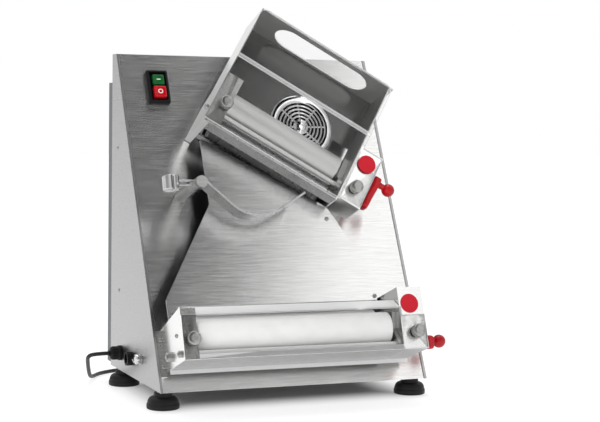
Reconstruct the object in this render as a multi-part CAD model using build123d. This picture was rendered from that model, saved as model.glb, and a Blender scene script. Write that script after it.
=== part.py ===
"""Two-stage bench dough roller: a slanted steel body with a sloping upper roller pair, a chute, a swinging
balance arm and a level lower roller pair. Millimetres, +Z up, front towards -Y, origin on the bench under the
middle of the whole machine without its cord."""
import os
from math import atan2, cos, degrees, hypot, pi, radians, sin, sqrt, tan
from types import SimpleNamespace as Values

from build123d import *

os.makedirs("parts", exist_ok=True)

# Body
BODY_WIDTH = 440.0
BODY_DEPTH = 278.0
TOP_DEPTH = 21.0
BODY_HEIGHT = 509.0
FOOT_HEIGHT = 28.6
SHEET = 2.0
HEM_WIDTH = 4.0
HEM_DEPTH = 10.0
HEM_PROUD = 1.5
REAR_COVER_DEPTH = 42.0
REAR_COVER_INSET = 6.0
REAR_COVER_BOTTOM = 30.0
REAR_COVER_TOP = 492.0
REAR_COVER_LAP = 8.0
VENT_COUNT = 9
VENT_PITCH = 34.0
VENT_LENGTH = 60.0
VENT_WIDTH = 6.0
VENT_HEIGHT = 380.0

# Middle of the whole machine, from the middle of its four feet
MIDDLE_X = 4.0
MIDDLE_Y = -20.0

# Feet
FOOT_RADIUS = 25.0
FOOT_NECK_RADIUS = 12.5
FOOT_RUBBER_HEIGHT = 25.0
FOOT_EDGE = 2.0
FOOT_RIM = 7.0
FOOT_FLARE = 3.5
FOOT_COLLAR = 5.0
FOOT_COLLAR_PROUD = 1.5
FOOT_INSET_X = 14.0
FOOT_INSET_Y = 32.0
STUD_RADIUS = 4.0
STUD_DEPTH = 14.0
STUD_END = 4.0
WASHER_RADIUS = 10.0
NUT_RADIUS = 7.5
NUT_HEIGHT = 6.5

# Switch on the front panel: across, and down from the panel's top edge
SWITCH_X = -159.0
SWITCH_DROP = 60.2
SWITCH_WIDTH = 38.0
SWITCH_HEIGHT = 58.0
SWITCH_PROUD = 14.0
SWITCH_BODY_DEPTH = 26.0
SWITCH_FLANGE = 4.0
SWITCH_CORNER = 3.0
BUTTON_WIDTH = 25.0
BUTTON_HEIGHT = 21.0
BUTTON_SPACING = 24.0
BUTTON_CLEARANCE = 0.3
BUTTON_DEPTH = 7.0
BUTTON_FLOOR_GAP = 0.5
BUTTON_EDGE = 1.2
START_PROUD = 1.5
STOP_PROUD = 3.5
BUTTON_TRAVEL = 3.0

# Fittings on the left side: place along Y and Z
GLAND_Y = 81.0
GLAND_Z = 57.0
GLAND_RADIUS = 10.0
GLAND_NOSE_RADIUS = 9.0
GLAND_FLANGE = 4.0
GLAND_BODY = 9.0
GLAND_LENGTH = 20.0
GLAND_STEM_RADIUS = 7.0
RELIEF_RADIUS = 7.5
RELIEF_WALL = 1.2
SOCKET_Y = 17.5
SOCKET_Z = 57.4
SOCKET_RADIUS = 11.0
SOCKET_LENGTH = 9.0
SOCKET_WALL = 3.0
SOCKET_STEM_RADIUS = 9.0
SOCKET_PINS = 5
SOCKET_PIN_CIRCLE = 4.0
SOCKET_PIN_RADIUS = 1.0
SOCKET_PIN_SUNK = 2.0
CAP_Y = -37.0
CAP_Z = 64.5
CAP_RADIUS = 8.0
CAP_LENGTH = 10.0
CAP_EDGE = 2.0
CHAIN_RADIUS = 1.2
CHAIN_SAG = 6.0
STEM_DEPTH = 13.0

# Cord: the places it passes on the bench, as right of and behind the gland's end
CORD_DIAMETER = 6.5
COIL_GAP = 0.5
COIL_TURNS = 3
COIL_RADIUS = 43.5
COIL_LIFT = 1.3
COIL_START = (-80.0, 230.0)
CORD_BEND = 26.5
CORD_DROP = 35.0
CORD_WAY = [(-10.0, 79.0), (18.0, 122.0)]
CORD_TURN = 70.0
TIE_THICKNESS = 0.9
TIE_WIDTH = 8.0
TIE_CLEARANCE = 0.3
PLUG_LEAD = 38.0
PLUG_LENGTH = 34.0
PLUG_WIDTH = 24.0
PLUG_HEIGHT = 23.0
PLUG_CORNER = 5.0
PLUG_PIN_RADIUS = 2.4
PLUG_PIN_LENGTH = 18.0
PLUG_PIN_SPACING = 14.0

# Chute: outline across and up the slope, and how far it stands off the front panel
CHUTE_STANDOFF = 42.0
CHUTE_BOTTOM = 118.0
CHUTE_TAB = (-206.0, -190.0, 98.5)
CHUTE_LEFT = [(-115.0, 400.0), (-115.0, 287.0), (-206.0, 132.0)]
CHUTE_RIGHT = [(146.0, 138.0), (94.0, 255.0), (80.0, 280.0)]
CHUTE_LIP = (-190.0, 138.0, 13.0)
CHUTE_LIP_TURN = 48.0
CHUTE_CORNER = 3.0
CHUTE_POSTS = [(-85, 330), (45, 255), (-150, 165), (90, 165)]
CHUTE_POST_RADIUS = 6.0

# Roller units: lean off the front panel, and their origins across, up and out of the panel
UNIT_LEAN = 6.79
UPPER_ROLL = 32.5
UPPER_X = 39.0
UPPER_S = 418.3
UPPER_STANDOFF = 20.0
LOWER_S = 63.74
LOWER_STANDOFF = 32.18
JOURNAL_RADIUS = 8.0
JOURNAL_END_GAP = 1.0
ROLLER_EDGE = 1.5
RUNNING_CLEARANCE = 0.05
SLIP_CLEARANCE = 0.3
BUSH_RADIUS = 9.8
BUSH_LENGTH = 4.0
BUSH_SEAT_WALL = 2.4
BLOCK_HALF = 13.0
BLOCK_HEAD = 8.5
BLOCK_GAP = 0.4
BLOCK_END = 7.0
BLOCK_SLOT_SPARE = 1.0
GUIDE_PIN_RADIUS = 3.0
GUIDE_PIN_OFFSET = 19.0
GUIDE_PIN_END = 1.0
SHAFT_RADIUS = 4.0
PINION_SHAFT_RADIUS = 5.0
PINION_SHAFT_DEPTH = 6.0
PINION_BORE_DEPTH = 8.0
ECCENTRIC_RADIUS = 6.3
ECCENTRIC_OFFSET = 2.12
ECCENTRIC_CLEARANCE = 0.2
CAM_SWING = 90.0
GAP_TRAVEL = 3.0
ROLLER_GEAR_TEETH = 16
PINION_TEETH = 10
GEAR_WIDTH = 10.0
GEAR_GAP = 4.0
TOOTH_SHARE = 0.84
TOOTH_FLANK = 20.0
TOOTH_ADDENDUM = 0.62
TOOTH_DEDENDUM = 0.85
GUARD_THICKNESS = 3.0
THUMB_RADIUS = 10.5
THUMB_LENGTH = 12.0
THUMB_STEM_RADIUS = 3.0
THUMB_STEM_LENGTH = 12.0
THUMB_EDGE = 1.0
THUMB_HOLE_DEPTH = 10.0
DISC_RADIUS = 15.0
DISC_THICKNESS = 0.5
LEVER_GAP = 1.0
LEVER_HUB_RADIUS = 11.0
LEVER_HUB_WIDTH = 16.0
LEVER_ARM = 47.0
LEVER_THICKNESS = 9.0
LEVER_END_WIDTH = 20.0
LEVER_END_THICKNESS = 14.4
LEVER_END_OUT = 7.65
NECK_RADIUS = 5.0
NECK_INSET = 7.0
BALL_RADIUS = 10.5
MOTOR_RADIUS = 30.0
MOTOR_LENGTH = 92.0
MOTOR_OFFSET = 24.0
GEARBOX_LENGTH = 24.0
GEARBOX_HALF = 31.0
GEARBOX_FRONT = 8.0
MOTOR_PLATE_DROP = 60.0

# Upper unit in its own frame: x along the rollers, y up the unit, z out of its face
UPPER = Values(
    left=-138.0, right_plate=106.0, front=77.0, roller=24.5, roller_ends=(-112.0, 92.0),
    rear_axis=(-46.0, -9.35), opening_angle=73.72, closed_gap=1.5, open_at_rest=True, block_width=9.0,
    shaft=(-59.0, 62.0), lever_angle=0.0, ball_out=32.0, cover_width=40.0, motor_direction=-90.0,
    thumbs=[(-119.0, -47.0), (126.0, -55.0)], disc=(127.0, -8.0))
UPPER_TOP = 138.0
UPPER_BOTTOM = -90.0
UPPER_BACK = -2.0
UPPER_CHEEK_BACK = -18.0
UPPER_CHEEK_TAIL = (-60.0, -26.0, 12.3)
UPPER_MOTOR_PLATE = (-76.0, -17.0)
UPPER_PLATE_BACK = 10.0
UPPER_COVER = (-82.0, 17.0)
UPPER_COVER_BACK = 20.0
UPPER_COVER_REAR_WIDTH = 28.0
UPPER_COVER_REAR = (-80.0, -10.0)
COVER_WALL = 1.5
UPPER_FLANGE = (-110.0, -84.0, 6.0)
UPPER_BOTTOM_FLANGE = 10.0
HOPPER_RIGHT = 114.0
HOPPER_SLOT_LENGTH = 174.0
HOPPER_SLOT_WIDTH = 56.0
HOPPER_SLOT_CENTRE = (-9.0, 36.5)
HOPPER_BACK_RIGHT = 75.0
HOPPER_BACK_BOTTOM = -21.5
GUARD_INSET = 2.0
GUARD_FOLD = 40.0
GUARD_RIB = 6.0
GUARD_CORNER = 12.0
GRILLE_CENTRE = (17.0, 28.0)
GRILLE_RADIUS = 47.0
GRILLE_RIM = 6.0
GRILLE_HUB = 13.0
GRILLE_RINGS = 4
GRILLE_WIRE = 3.2
GRILLE_SPOKES = 8
GRILLE_DEPTH = 3.5
GRILLE_BOSS_RADIUS = 3.5
GRILLE_BOSS_DEPTH = 1.5
SCRAPER_GAP = 0.5
SCRAPER_THICKNESS = 2.0
UPPER_RAIL = (-88.0, 50.0)
UPPER_RAIL_THICKNESS = 3.0
UPPER_BLADE_OFFSET = 8.0
REAR_RAIL = (6.0, 22.0)
REAR_BLADE = 10.0
STANDOFF_POSTS = [(-118.0, 85.0), (-118.0, 5.0), (55.0, 95.0)]
STANDOFF_RADIUS = 8.0
UPPER_WINDOW = (-118.0, 134.0, -78.0, -12.0)

# Lower unit in its own frame
LOWER = Values(
    left=-208.0, right_plate=143.0, front=69.0, roller=25.0, roller_ends=(-180.0, 133.0),
    rear_axis=(20.0, -13.75), opening_angle=107.52, closed_gap=1.5, open_at_rest=False, block_width=6.5,
    shaft=(-24.5, 55.5), lever_angle=-78.0, ball_out=45.0, cover_width=39.0, motor_direction=-90.0,
    thumbs=[(-194.0, -7.0), (166.0, -10.0)], disc=(161.0, 35.0))
LOWER_BOTTOM = -36.0
LOWER_CHEEK_BACK = -60.0
LOWER_PLATE_REAR = -20.0
LOWER_MOTOR_PLATE_HALF = 34.0
LOWER_CHEEK_TOP = 42.5
LOWER_CHEEK_FALL = 0.124
LOWER_CHEEK_FOOT = (24.0, 97.0)
LOWER_COVER = (-36.0, 61.0)
LOWER_FLANGE = (-185.0, -36.0, 40.0)
LOWER_TAB_TOP = 17.0
LOWER_GUARD_TOP = 30.0
LOWER_GUARD_BEND = (44.0, 52.0)
LOWER_PLATE_BACK = -12.0
LOWER_LIP = 8.0
LOWER_DRIP = 6.0
LOWER_BLADE_OFFSET = 14.0
LOWER_BLADE_FOOT = (10.0, 3.0)
LOWER_WINDOW = (140.0, 184.0, -16.0, 70.0)
LOWER_ROLLER_WINDOW = (-188.0, 141.0, -4.0, 44.0)

# Balance arm: pin foot on the front panel, lean of the pin off the panel, and the strap seen along the pin
ARM_X = -146.0
ARM_S = 316.4
ARM_LEAN = 10.79
PIN_RADIUS = 6.0
PIN_LENGTH = 105.0
PIN_COLLAR_RADIUS = 9.0
PIN_HEAD = 6.0
PIN_SUNK = 16.0
STRAP_BACK = 70.0
STRAP_FRONT = 104.0
STRAP_THICKNESS = 3.0
STRAP_START = (8.0, 3.0)
STRAP_CORNER = (84.0, -68.0)
STRAP_END = (169.0, -17.0)
STRAP_BEND = 64.0
EYE_RADIUS = 9.5
EYE_BACK = 2.0
ARM_ROD_SUNK = 5.5
ARM_ROD_RADIUS = 1.8
ARM_ROD_HEIGHTS = (-1.0, 6.0)
ARM_ROD_DEPTH = 87.0
WEIGHT_X = -42.0
WEIGHT_RADIUS = 13.0
WEIGHT_HEIGHT = 22.0
WEIGHT_SLIT = 3.0
WEIGHT_SLIT_DEPTH = 10.0
WEIGHT_ROD_END = 2.0
WEIGHT_EDGE = 1.0

# How far a cut passes a face, how far a trimmed piece starts behind its unit, and a reach past everything
PAST = 1.0
BEHIND = 90.0
FAR = 1500.0

FRONT_ANGLE = atan2(BODY_DEPTH - TOP_DEPTH, BODY_HEIGHT)
FRONT_LENGTH = hypot(BODY_DEPTH - TOP_DEPTH, BODY_HEIGHT)
HALF_WIDTH = BODY_WIDTH / 2
HALF_DEPTH = BODY_DEPTH / 2
BODY_TOP = FOOT_HEIGHT + BODY_HEIGHT
CORD_RADIUS = CORD_DIAMETER / 2
COIL_PITCH = CORD_DIAMETER + COIL_GAP
SWITCH_S = FRONT_LENGTH - SWITCH_DROP
UNIT_ANGLE = FRONT_ANGLE - radians(UNIT_LEAN)


def tilted(origin, angle, roll=0.0):
    """Frame whose z points out of a face leaning back by angle, with x rolled down to the right by roll."""
    up = Vector(0, sin(angle), cos(angle))
    right = Vector(cos(roll), 0, 0) - up * sin(roll)
    return Plane(origin=origin, x_dir=right, z_dir=(0, -cos(angle), sin(angle)))


FRONT = tilted((0, -HALF_DEPTH, FOOT_HEIGHT), FRONT_ANGLE)
UNIT_OUT = Vector(0, -cos(UNIT_ANGLE), sin(UNIT_ANGLE))
UPPER_FRAME = tilted(FRONT.from_local_coords((UPPER_X, UPPER_S, 0)) + UNIT_OUT * UPPER_STANDOFF,
                     UNIT_ANGLE, radians(UPPER_ROLL))
LOWER_FRAME = tilted(FRONT.from_local_coords((0, LOWER_S, LOWER_STANDOFF)), UNIT_ANGLE)
ARM_FRAME = tilted(FRONT.from_local_coords((ARM_X, ARM_S, 0)), FRONT_ANGLE - radians(ARM_LEAN))


def block(x0, x1, y0, y1, z0, z1):
    """Box between two corners."""
    return Pos((x0 + x1) / 2, (y0 + y1) / 2, (z0 + z1) / 2) * Box(x1 - x0, y1 - y0, z1 - z0)


def rod_x(x0, x1, y, z, radius):
    """Round bar along x."""
    return Pos((x0 + x1) / 2, y, z) * Rot(0, 90, 0) * Cylinder(radius, x1 - x0)


def rod_y(y0, y1, x, z, radius):
    """Round bar along y."""
    return Pos(x, (y0 + y1) / 2, z) * Rot(90, 0, 0) * Cylinder(radius, y1 - y0)


def rod_z(z0, z1, x, y, radius):
    """Round bar along z."""
    return Pos(x, y, (z0 + z1) / 2) * Cylinder(radius, z1 - z0)


def outline(points, corner=0.0):
    """Flat face inside a closed outline, with its corners rounded."""
    face = make_face(Polyline(*points, close=True))
    return fillet(face.vertices(), corner) if corner else face


def side_plate(points, x0, x1):
    """Plate across x, from an outline of (y, z) points."""
    return Pos(x0, 0, 0) * extrude(Plane.YZ * outline(points), amount=x1 - x0)


def slot_x(x0, x1, y, z, radius, length, angle):
    """Bar along x with an obround section whose long way points at angle in the y-z plane."""
    section = Plane.YZ * (Rot(0, 0, degrees(angle)) * SlotOverall(length + 2 * radius, 2 * radius))
    return Pos(x0, y, z) * extrude(section, amount=x1 - x0)


def turned_x(*points):
    """Solid turned about x, from a closed outline of (x, radius) points."""
    return revolve(make_face(Polyline(*points, close=True)), Axis.X)


def placed(frame, shape):
    """Shape moved from a frame's own coordinates into the body's."""
    return frame.location * shape


def save(name, *shapes):
    """Write one node, from one solid or a group of them, moved to the middle of the whole machine."""
    solids = [Pos(-MIDDLE_X, -MIDDLE_Y, 0) * shape.solid() for shape in shapes]
    export_step(solids[0] if len(solids) == 1 else Compound(children=solids), f"parts/{name}.step")


BEHIND_FRONT = placed(FRONT, block(-FAR, FAR, -FAR, FAR, -FAR, 0))
AHEAD_OF_FRONT = placed(FRONT, block(-FAR, FAR, -FAR, FAR, -SHEET, FAR))


def make_body():
    """Side panels, front panel, top, base and rear cover."""
    panel = make_face(Polyline((-HALF_DEPTH, FOOT_HEIGHT), (HALF_DEPTH, FOOT_HEIGHT), (HALF_DEPTH, BODY_TOP),
                               (HALF_DEPTH - TOP_DEPTH, BODY_TOP), close=True))
    sheet = Pos(-HALF_WIDTH, 0, 0) * extrude(Plane.YZ * panel, amount=SHEET)
    hem = placed(FRONT, block(-HALF_WIDTH, -HALF_WIDTH + HEM_WIDTH, -FAR, FAR, -HEM_DEPTH, HEM_PROUD))
    hem &= block(-HALF_WIDTH, HALF_WIDTH, -BODY_DEPTH, HALF_DEPTH, FOOT_HEIGHT, BODY_TOP)
    side = sheet + hem
    save("right_side_panel", mirror(side, Plane.YZ))
    trim = AHEAD_OF_FRONT + hem + mirror(hem, Plane.YZ)
    for y, z, radius in ((GLAND_Y, GLAND_Z, GLAND_STEM_RADIUS), (SOCKET_Y, SOCKET_Z, SOCKET_STEM_RADIUS)):
        side -= rod_x(-HALF_WIDTH - PAST, -HALF_WIDTH + HEM_WIDTH, y, z, radius)
    save("left_side_panel", side)

    inner = HALF_WIDTH - HEM_WIDTH
    front = block(-inner, inner, 0, FRONT_LENGTH, -SHEET, 0)
    front -= Pos(SWITCH_X, SWITCH_S, 0) * switch_body()
    front = placed(FRONT, front)
    front &= block(-inner, inner, -BODY_DEPTH, HALF_DEPTH, FOOT_HEIGHT, BODY_TOP - SHEET)
    x0, x1, y0, y1 = UPPER_WINDOW
    front -= placed(UPPER_FRAME, block(x0, x1, y0, y1, -BEHIND, BEHIND))
    for x0, x1, y0, y1 in (LOWER_WINDOW, LOWER_ROLLER_WINDOW):
        front -= placed(LOWER_FRAME, block(x0, x1, y0, y1, -BEHIND, 0))
    front -= placed(ARM_FRAME, rod_z(-BEHIND, BEHIND, 0, 0, PIN_RADIUS))
    save("front_panel", front)

    between = HALF_WIDTH - SHEET
    top = block(-between, between, HALF_DEPTH - TOP_DEPTH, HALF_DEPTH, BODY_TOP - SHEET, BODY_TOP)
    skirt_bottom = REAR_COVER_TOP - REAR_COVER_LAP
    skirt = block(-between, between, HALF_DEPTH - SHEET, HALF_DEPTH, skirt_bottom, BODY_TOP)
    save("top_panel", top + skirt - trim)

    base = block(-between, between, -HALF_DEPTH, HALF_DEPTH, FOOT_HEIGHT, FOOT_HEIGHT + SHEET)
    base -= trim
    for x, y in foot_places():
        base -= rod_z(FOOT_HEIGHT - PAST, FOOT_HEIGHT + SHEET + PAST, x, y, STUD_RADIUS)
    save("base_plate", base)

    x = HALF_WIDTH - REAR_COVER_INSET
    y = HALF_DEPTH + REAR_COVER_DEPTH
    cover = block(-x, x, HALF_DEPTH, y, REAR_COVER_BOTTOM, REAR_COVER_TOP)
    cover -= block(-x + SHEET, x - SHEET, HALF_DEPTH - PAST, y - SHEET, REAR_COVER_BOTTOM + SHEET,
                   REAR_COVER_TOP - SHEET)
    for i in range(VENT_COUNT):
        vent_x = (i - (VENT_COUNT - 1) / 2) * VENT_PITCH
        cover -= block(vent_x - VENT_WIDTH / 2, vent_x + VENT_WIDTH / 2, y - SHEET - PAST, y + PAST,
                       VENT_HEIGHT, VENT_HEIGHT + VENT_LENGTH)
    save("rear_cover", cover)


def foot_places():
    """Centres of the four feet."""
    x = HALF_WIDTH - FOOT_INSET_X
    y = HALF_DEPTH - FOOT_INSET_Y
    return [(sx * x, sy * y) for sx in (-1, 1) for sy in (-1, 1)]


def make_feet():
    """Bell-shaped rubber feet on threaded studs."""
    height = FOOT_RUBBER_HEIGHT
    collar = FOOT_NECK_RADIUS + FOOT_COLLAR_PROUD
    bell = Polyline((0, 0), (FOOT_RADIUS - FOOT_EDGE, 0), (FOOT_RADIUS, FOOT_EDGE), (FOOT_RADIUS, FOOT_RIM),
                    (FOOT_RADIUS - FOOT_EDGE, FOOT_RIM + FOOT_FLARE),
                    (FOOT_NECK_RADIUS + FOOT_EDGE / 2, height - FOOT_COLLAR - FOOT_EDGE),
                    (FOOT_NECK_RADIUS, height - FOOT_COLLAR),
                    (collar, height - FOOT_COLLAR + FOOT_COLLAR_PROUD), (collar, height), (0, height),
                    close=True)
    foot = revolve(Plane.XZ * make_face(bell), Axis.Z)
    foot -= rod_z(height - STUD_DEPTH, height + PAST, 0, 0, STUD_RADIUS)
    stud = rod_z(height - STUD_DEPTH, FOOT_HEIGHT + SHEET + NUT_HEIGHT + STUD_END, 0, 0, STUD_RADIUS)
    stud += rod_z(height, FOOT_HEIGHT, 0, 0, WASHER_RADIUS)
    nut = extrude(RegularPolygon(NUT_RADIUS, 6), amount=NUT_HEIGHT)
    stud += Pos(0, 0, FOOT_HEIGHT + SHEET) * nut
    save("rubber_feet", *[Pos(x, y, 0) * foot for x, y in foot_places()])
    save("foot_studs", *[Pos(x, y, 0) * stud for x, y in foot_places()])


def switch_body():
    """Part of the switch that goes through the front panel, with the panel's face at z = 0."""
    half_x = SWITCH_WIDTH / 2 - SWITCH_FLANGE
    half_y = SWITCH_HEIGHT / 2 - SWITCH_FLANGE
    return block(-half_x, half_x, -half_y, half_y, -SWITCH_BODY_DEPTH, 0)


def make_switch():
    """Switch frame with a green start button above a red stop button."""
    frame = block(-SWITCH_WIDTH / 2, SWITCH_WIDTH / 2, -SWITCH_HEIGHT / 2, SWITCH_HEIGHT / 2, 0, SWITCH_PROUD)
    frame = fillet(frame.edges().filter_by(Axis.Z), SWITCH_CORNER) + switch_body()
    place = Pos(SWITCH_X, SWITCH_S, 0)
    floor = SWITCH_PROUD - BUTTON_TRAVEL - BUTTON_DEPTH
    button_back = floor + BUTTON_TRAVEL + BUTTON_FLOOR_GAP
    for name, side, proud in (("start_button", 1, START_PROUD), ("stop_button", -1, STOP_PROUD)):
        y = side * BUTTON_SPACING / 2
        frame -= block(-BUTTON_WIDTH / 2, BUTTON_WIDTH / 2, y - BUTTON_HEIGHT / 2, y + BUTTON_HEIGHT / 2,
                       floor, SWITCH_PROUD + PAST)
        half_x = BUTTON_WIDTH / 2 - BUTTON_CLEARANCE
        half_y = BUTTON_HEIGHT / 2 - BUTTON_CLEARANCE
        button = block(-half_x, half_x, y - half_y, y + half_y, button_back, SWITCH_PROUD + proud)
        button = fillet(button.faces().sort_by(Axis.Z)[-1].edges(), BUTTON_EDGE)
        save(name, placed(FRONT, place * button))
    save("switch_frame", placed(FRONT, place * frame))


def make_side_fittings():
    """Cord gland with its tapered strain relief, pedal socket, and the socket's cap on its chain."""
    x = -HALF_WIDTH
    tail = CORD_RADIUS + RELIEF_WALL
    gland = turned_x((STEM_DEPTH, 0), (STEM_DEPTH, GLAND_STEM_RADIUS), (0, GLAND_STEM_RADIUS),
                     (0, GLAND_RADIUS), (-GLAND_FLANGE, GLAND_RADIUS), (-GLAND_BODY, GLAND_NOSE_RADIUS),
                     (-GLAND_BODY, RELIEF_RADIUS), (-GLAND_LENGTH, tail), (-GLAND_LENGTH, 0))
    save("cord_gland", Pos(x, GLAND_Y, GLAND_Z) * gland)
    inner = SOCKET_RADIUS - SOCKET_WALL
    socket = turned_x((STEM_DEPTH, 0), (STEM_DEPTH, SOCKET_STEM_RADIUS), (0, SOCKET_STEM_RADIUS),
                      (0, SOCKET_RADIUS), (-SOCKET_LENGTH, SOCKET_RADIUS), (-SOCKET_LENGTH, inner),
                      (-SOCKET_WALL, inner), (-SOCKET_WALL, 0))
    for i in range(SOCKET_PINS):
        angle = 2 * pi * i / SOCKET_PINS
        socket += rod_x(-SOCKET_LENGTH + SOCKET_PIN_SUNK, -SOCKET_WALL, SOCKET_PIN_CIRCLE * cos(angle),
                        SOCKET_PIN_CIRCLE * sin(angle), SOCKET_PIN_RADIUS)
    save("pedal_socket", Pos(x, SOCKET_Y, SOCKET_Z) * socket)
    cap = rod_x(x - CAP_LENGTH, x, CAP_Y, CAP_Z, CAP_RADIUS)
    cap = fillet(cap.edges().sort_by(Axis.X)[0], CAP_EDGE)
    chain_x = x - CHAIN_RADIUS - SLIP_CLEARANCE
    start = Vector(chain_x, SOCKET_Y - SOCKET_RADIUS - CHAIN_RADIUS / 2, SOCKET_Z)
    end = Vector(chain_x, CAP_Y + CAP_RADIUS - CHAIN_RADIUS, CAP_Z)
    line = ThreePointArc(start, (start + end) / 2 - Vector(0, 0, CHAIN_SAG), end)
    cap += sweep(Plane(origin=start, z_dir=line % 0) * Circle(CHAIN_RADIUS), path=line)
    save("socket_cap", cap)


def cord_points():
    """Route of the free cord, from the gland down to the bench and round to the coil."""
    x = -HALF_WIDTH - GLAND_LENGTH
    low = CORD_RADIUS + COIL_LIFT
    coil_x, coil_y = COIL_START
    passed = [(x + right, GLAND_Y + back, low) for right, back in CORD_WAY]
    return [(x, GLAND_Y, GLAND_Z), (x - CORD_DROP, GLAND_Y, GLAND_Z), *passed, (x + CORD_TURN, coil_y, low),
            (coil_x - CORD_DIAMETER, coil_y, low)]


def make_cord():
    """Free cord, its coil with a tie, and the plug."""
    points = [Vector(*point) for point in cord_points()]
    line = FilletPolyline(*points, radius=CORD_BEND)
    start = Plane(origin=points[0], z_dir=points[1] - points[0])
    save("cord_stretch", sweep(start * Circle(CORD_RADIUS), path=line))

    turns, end = coil_path()
    start = Plane(origin=turns[0] @ 0, z_dir=turns[0] % 0)
    save("cord_coil", sweep(start * Circle(CORD_RADIUS), path=Wire(turns)))

    centre_x, centre_y = COIL_START[0], COIL_START[1] + COIL_RADIUS
    inner = COIL_RADIUS - COIL_PITCH * COIL_TURNS - CORD_RADIUS - TIE_CLEARANCE
    outer = COIL_RADIUS + CORD_RADIUS + TIE_CLEARANCE
    low = COIL_LIFT - TIE_CLEARANCE
    high = COIL_LIFT + CORD_DIAMETER + COIL_PITCH + TIE_CLEARANCE
    tie = block(centre_x + inner - TIE_THICKNESS, centre_x + outer + TIE_THICKNESS,
                -TIE_WIDTH / 2, TIE_WIDTH / 2, low - TIE_THICKNESS, high + TIE_THICKNESS)
    tie -= block(centre_x + inner, centre_x + outer, -TIE_WIDTH, TIE_WIDTH, low, high)
    save("coil_tie", Pos(0, centre_y, 0) * tie)

    plug = block(-PLUG_LENGTH, 0, -PLUG_WIDTH / 2, PLUG_WIDTH / 2, -PLUG_HEIGHT / 2, PLUG_HEIGHT / 2)
    plug = fillet(plug.edges().filter_by(Axis.X), PLUG_CORNER)
    for side in (-1, 1):
        plug += rod_x(-PLUG_LENGTH - PLUG_PIN_LENGTH, -PLUG_LENGTH, side * PLUG_PIN_SPACING / 2, 0,
                      PLUG_PIN_RADIUS)
    save("plug", Pos(end.X, end.Y, end.Z) * plug)


def coil_path():
    """Coil edges: half turns that spiral in on the bench, climb one layer, and spiral out on top."""
    x, y = COIL_START
    low = CORD_RADIUS + COIL_LIFT
    here = Vector(x, y, low)
    edges = [Line(here - Vector(CORD_DIAMETER, 0, 0), here)]
    heading = Vector(1, 0, 0)
    half_turns = 2 * COIL_TURNS
    shrinking = [COIL_RADIUS - i * COIL_PITCH / 2 for i in range(half_turns)]
    climb = COIL_RADIUS - half_turns * COIL_PITCH / 2
    for radius in shrinking:
        there = here + Vector(0, 2 * radius, 0) * heading.X
        edges.append(TangentArc(here, there, tangent=heading))
        here, heading = there, -heading
    there = here + Vector(0, 2 * climb, 0) * heading.X + Vector(0, 0, COIL_PITCH)
    reach = sqrt(climb ** 2 + COIL_PITCH ** 2 / 4)
    middle = (here + there) / 2 + heading * reach
    edges.append(TangentArc(here, middle, tangent=heading))
    edges.append(TangentArc(middle, there, tangent=edges[-1] % 1))
    here, heading = there, -heading
    for radius in reversed(shrinking):
        there = here + Vector(0, 2 * radius, 0) * heading.X
        edges.append(TangentArc(here, there, tangent=heading))
        here, heading = there, -heading
    end = here + heading * PLUG_LEAD
    edges.append(Line(here, end))
    return edges, end


def make_chute():
    """Chute plate with its lower edge turned forward, held off the front panel by round posts."""
    tab_x0, tab_x1, tab_bottom = CHUTE_TAB
    lip_x0, lip_x1, lip_length = CHUTE_LIP
    bottom = [(tab_x0, tab_bottom), (tab_x1, tab_bottom), (tab_x1, CHUTE_BOTTOM), (lip_x1, CHUTE_BOTTOM)]
    plate = extrude(outline(CHUTE_LEFT + bottom + CHUTE_RIGHT, CHUTE_CORNER), amount=SHEET)
    lip = block(lip_x0, lip_x1, -lip_length, 0, -SHEET, 0)
    plate += Pos(0, CHUTE_BOTTOM + SHEET, SHEET) * Rot(-CHUTE_LIP_TURN, 0, 0) * lip
    save("chute_plate", placed(FRONT, Pos(0, 0, CHUTE_STANDOFF - SHEET) * plate))
    posts = [rod_z(0, CHUTE_STANDOFF - SHEET, x, y, CHUTE_POST_RADIUS) for x, y in CHUTE_POSTS]
    save("chute_posts", *[placed(FRONT, post) for post in posts])


def opening_way(unit):
    """Unit vector, as (y, z), along which the front roller moves away from the rear one."""
    return cos(radians(unit.opening_angle)), sin(radians(unit.opening_angle))


def closed_distance(unit):
    """Distance between the roller axes with the rollers closed up."""
    return 2 * unit.roller + unit.closed_gap


def front_place(unit):
    """Front roller's axis at rest, as (y, z)."""
    way_y, way_z = opening_way(unit)
    reach = closed_distance(unit) + (GAP_TRAVEL if unit.open_at_rest else 0)
    return unit.rear_axis[0] + reach * way_y, unit.rear_axis[1] + reach * way_z


def gear(teeth, pitch_radius, phase):
    """Spur gear across x with straight-sided long teeth; phase is the angle of one tooth from y towards z."""
    module = 2 * pitch_radius / teeth
    tip = pitch_radius + TOOTH_ADDENDUM * module
    root = pitch_radius - TOOTH_DEDENDUM * module
    points = []
    for i in range(teeth):
        middle = phase + 2 * pi * i / teeth
        for radius, side in ((root, -1), (tip, -1), (tip, 1), (root, 1)):
            half = TOOTH_SHARE * pi * module / 4 - (radius - pitch_radius) * tan(radians(TOOTH_FLANK))
            angle = middle + side * half / radius
            points.append((radius * cos(angle), radius * sin(angle)))
    return extrude(Plane.YZ * outline(points), amount=GEAR_WIDTH)


def pinion_place(unit):
    """Motor pinion's axis as (y, z), its direction from the rear roller and the gears' pitch radii."""
    roller_pitch = closed_distance(unit) / 2
    pinion_pitch = roller_pitch * PINION_TEETH / ROLLER_GEAR_TEETH
    angle = radians(unit.motor_direction)
    reach = roller_pitch + pinion_pitch
    axis = (unit.rear_axis[0] + reach * cos(angle), unit.rear_axis[1] + reach * sin(angle))
    return axis, angle, roller_pitch, pinion_pitch


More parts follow.
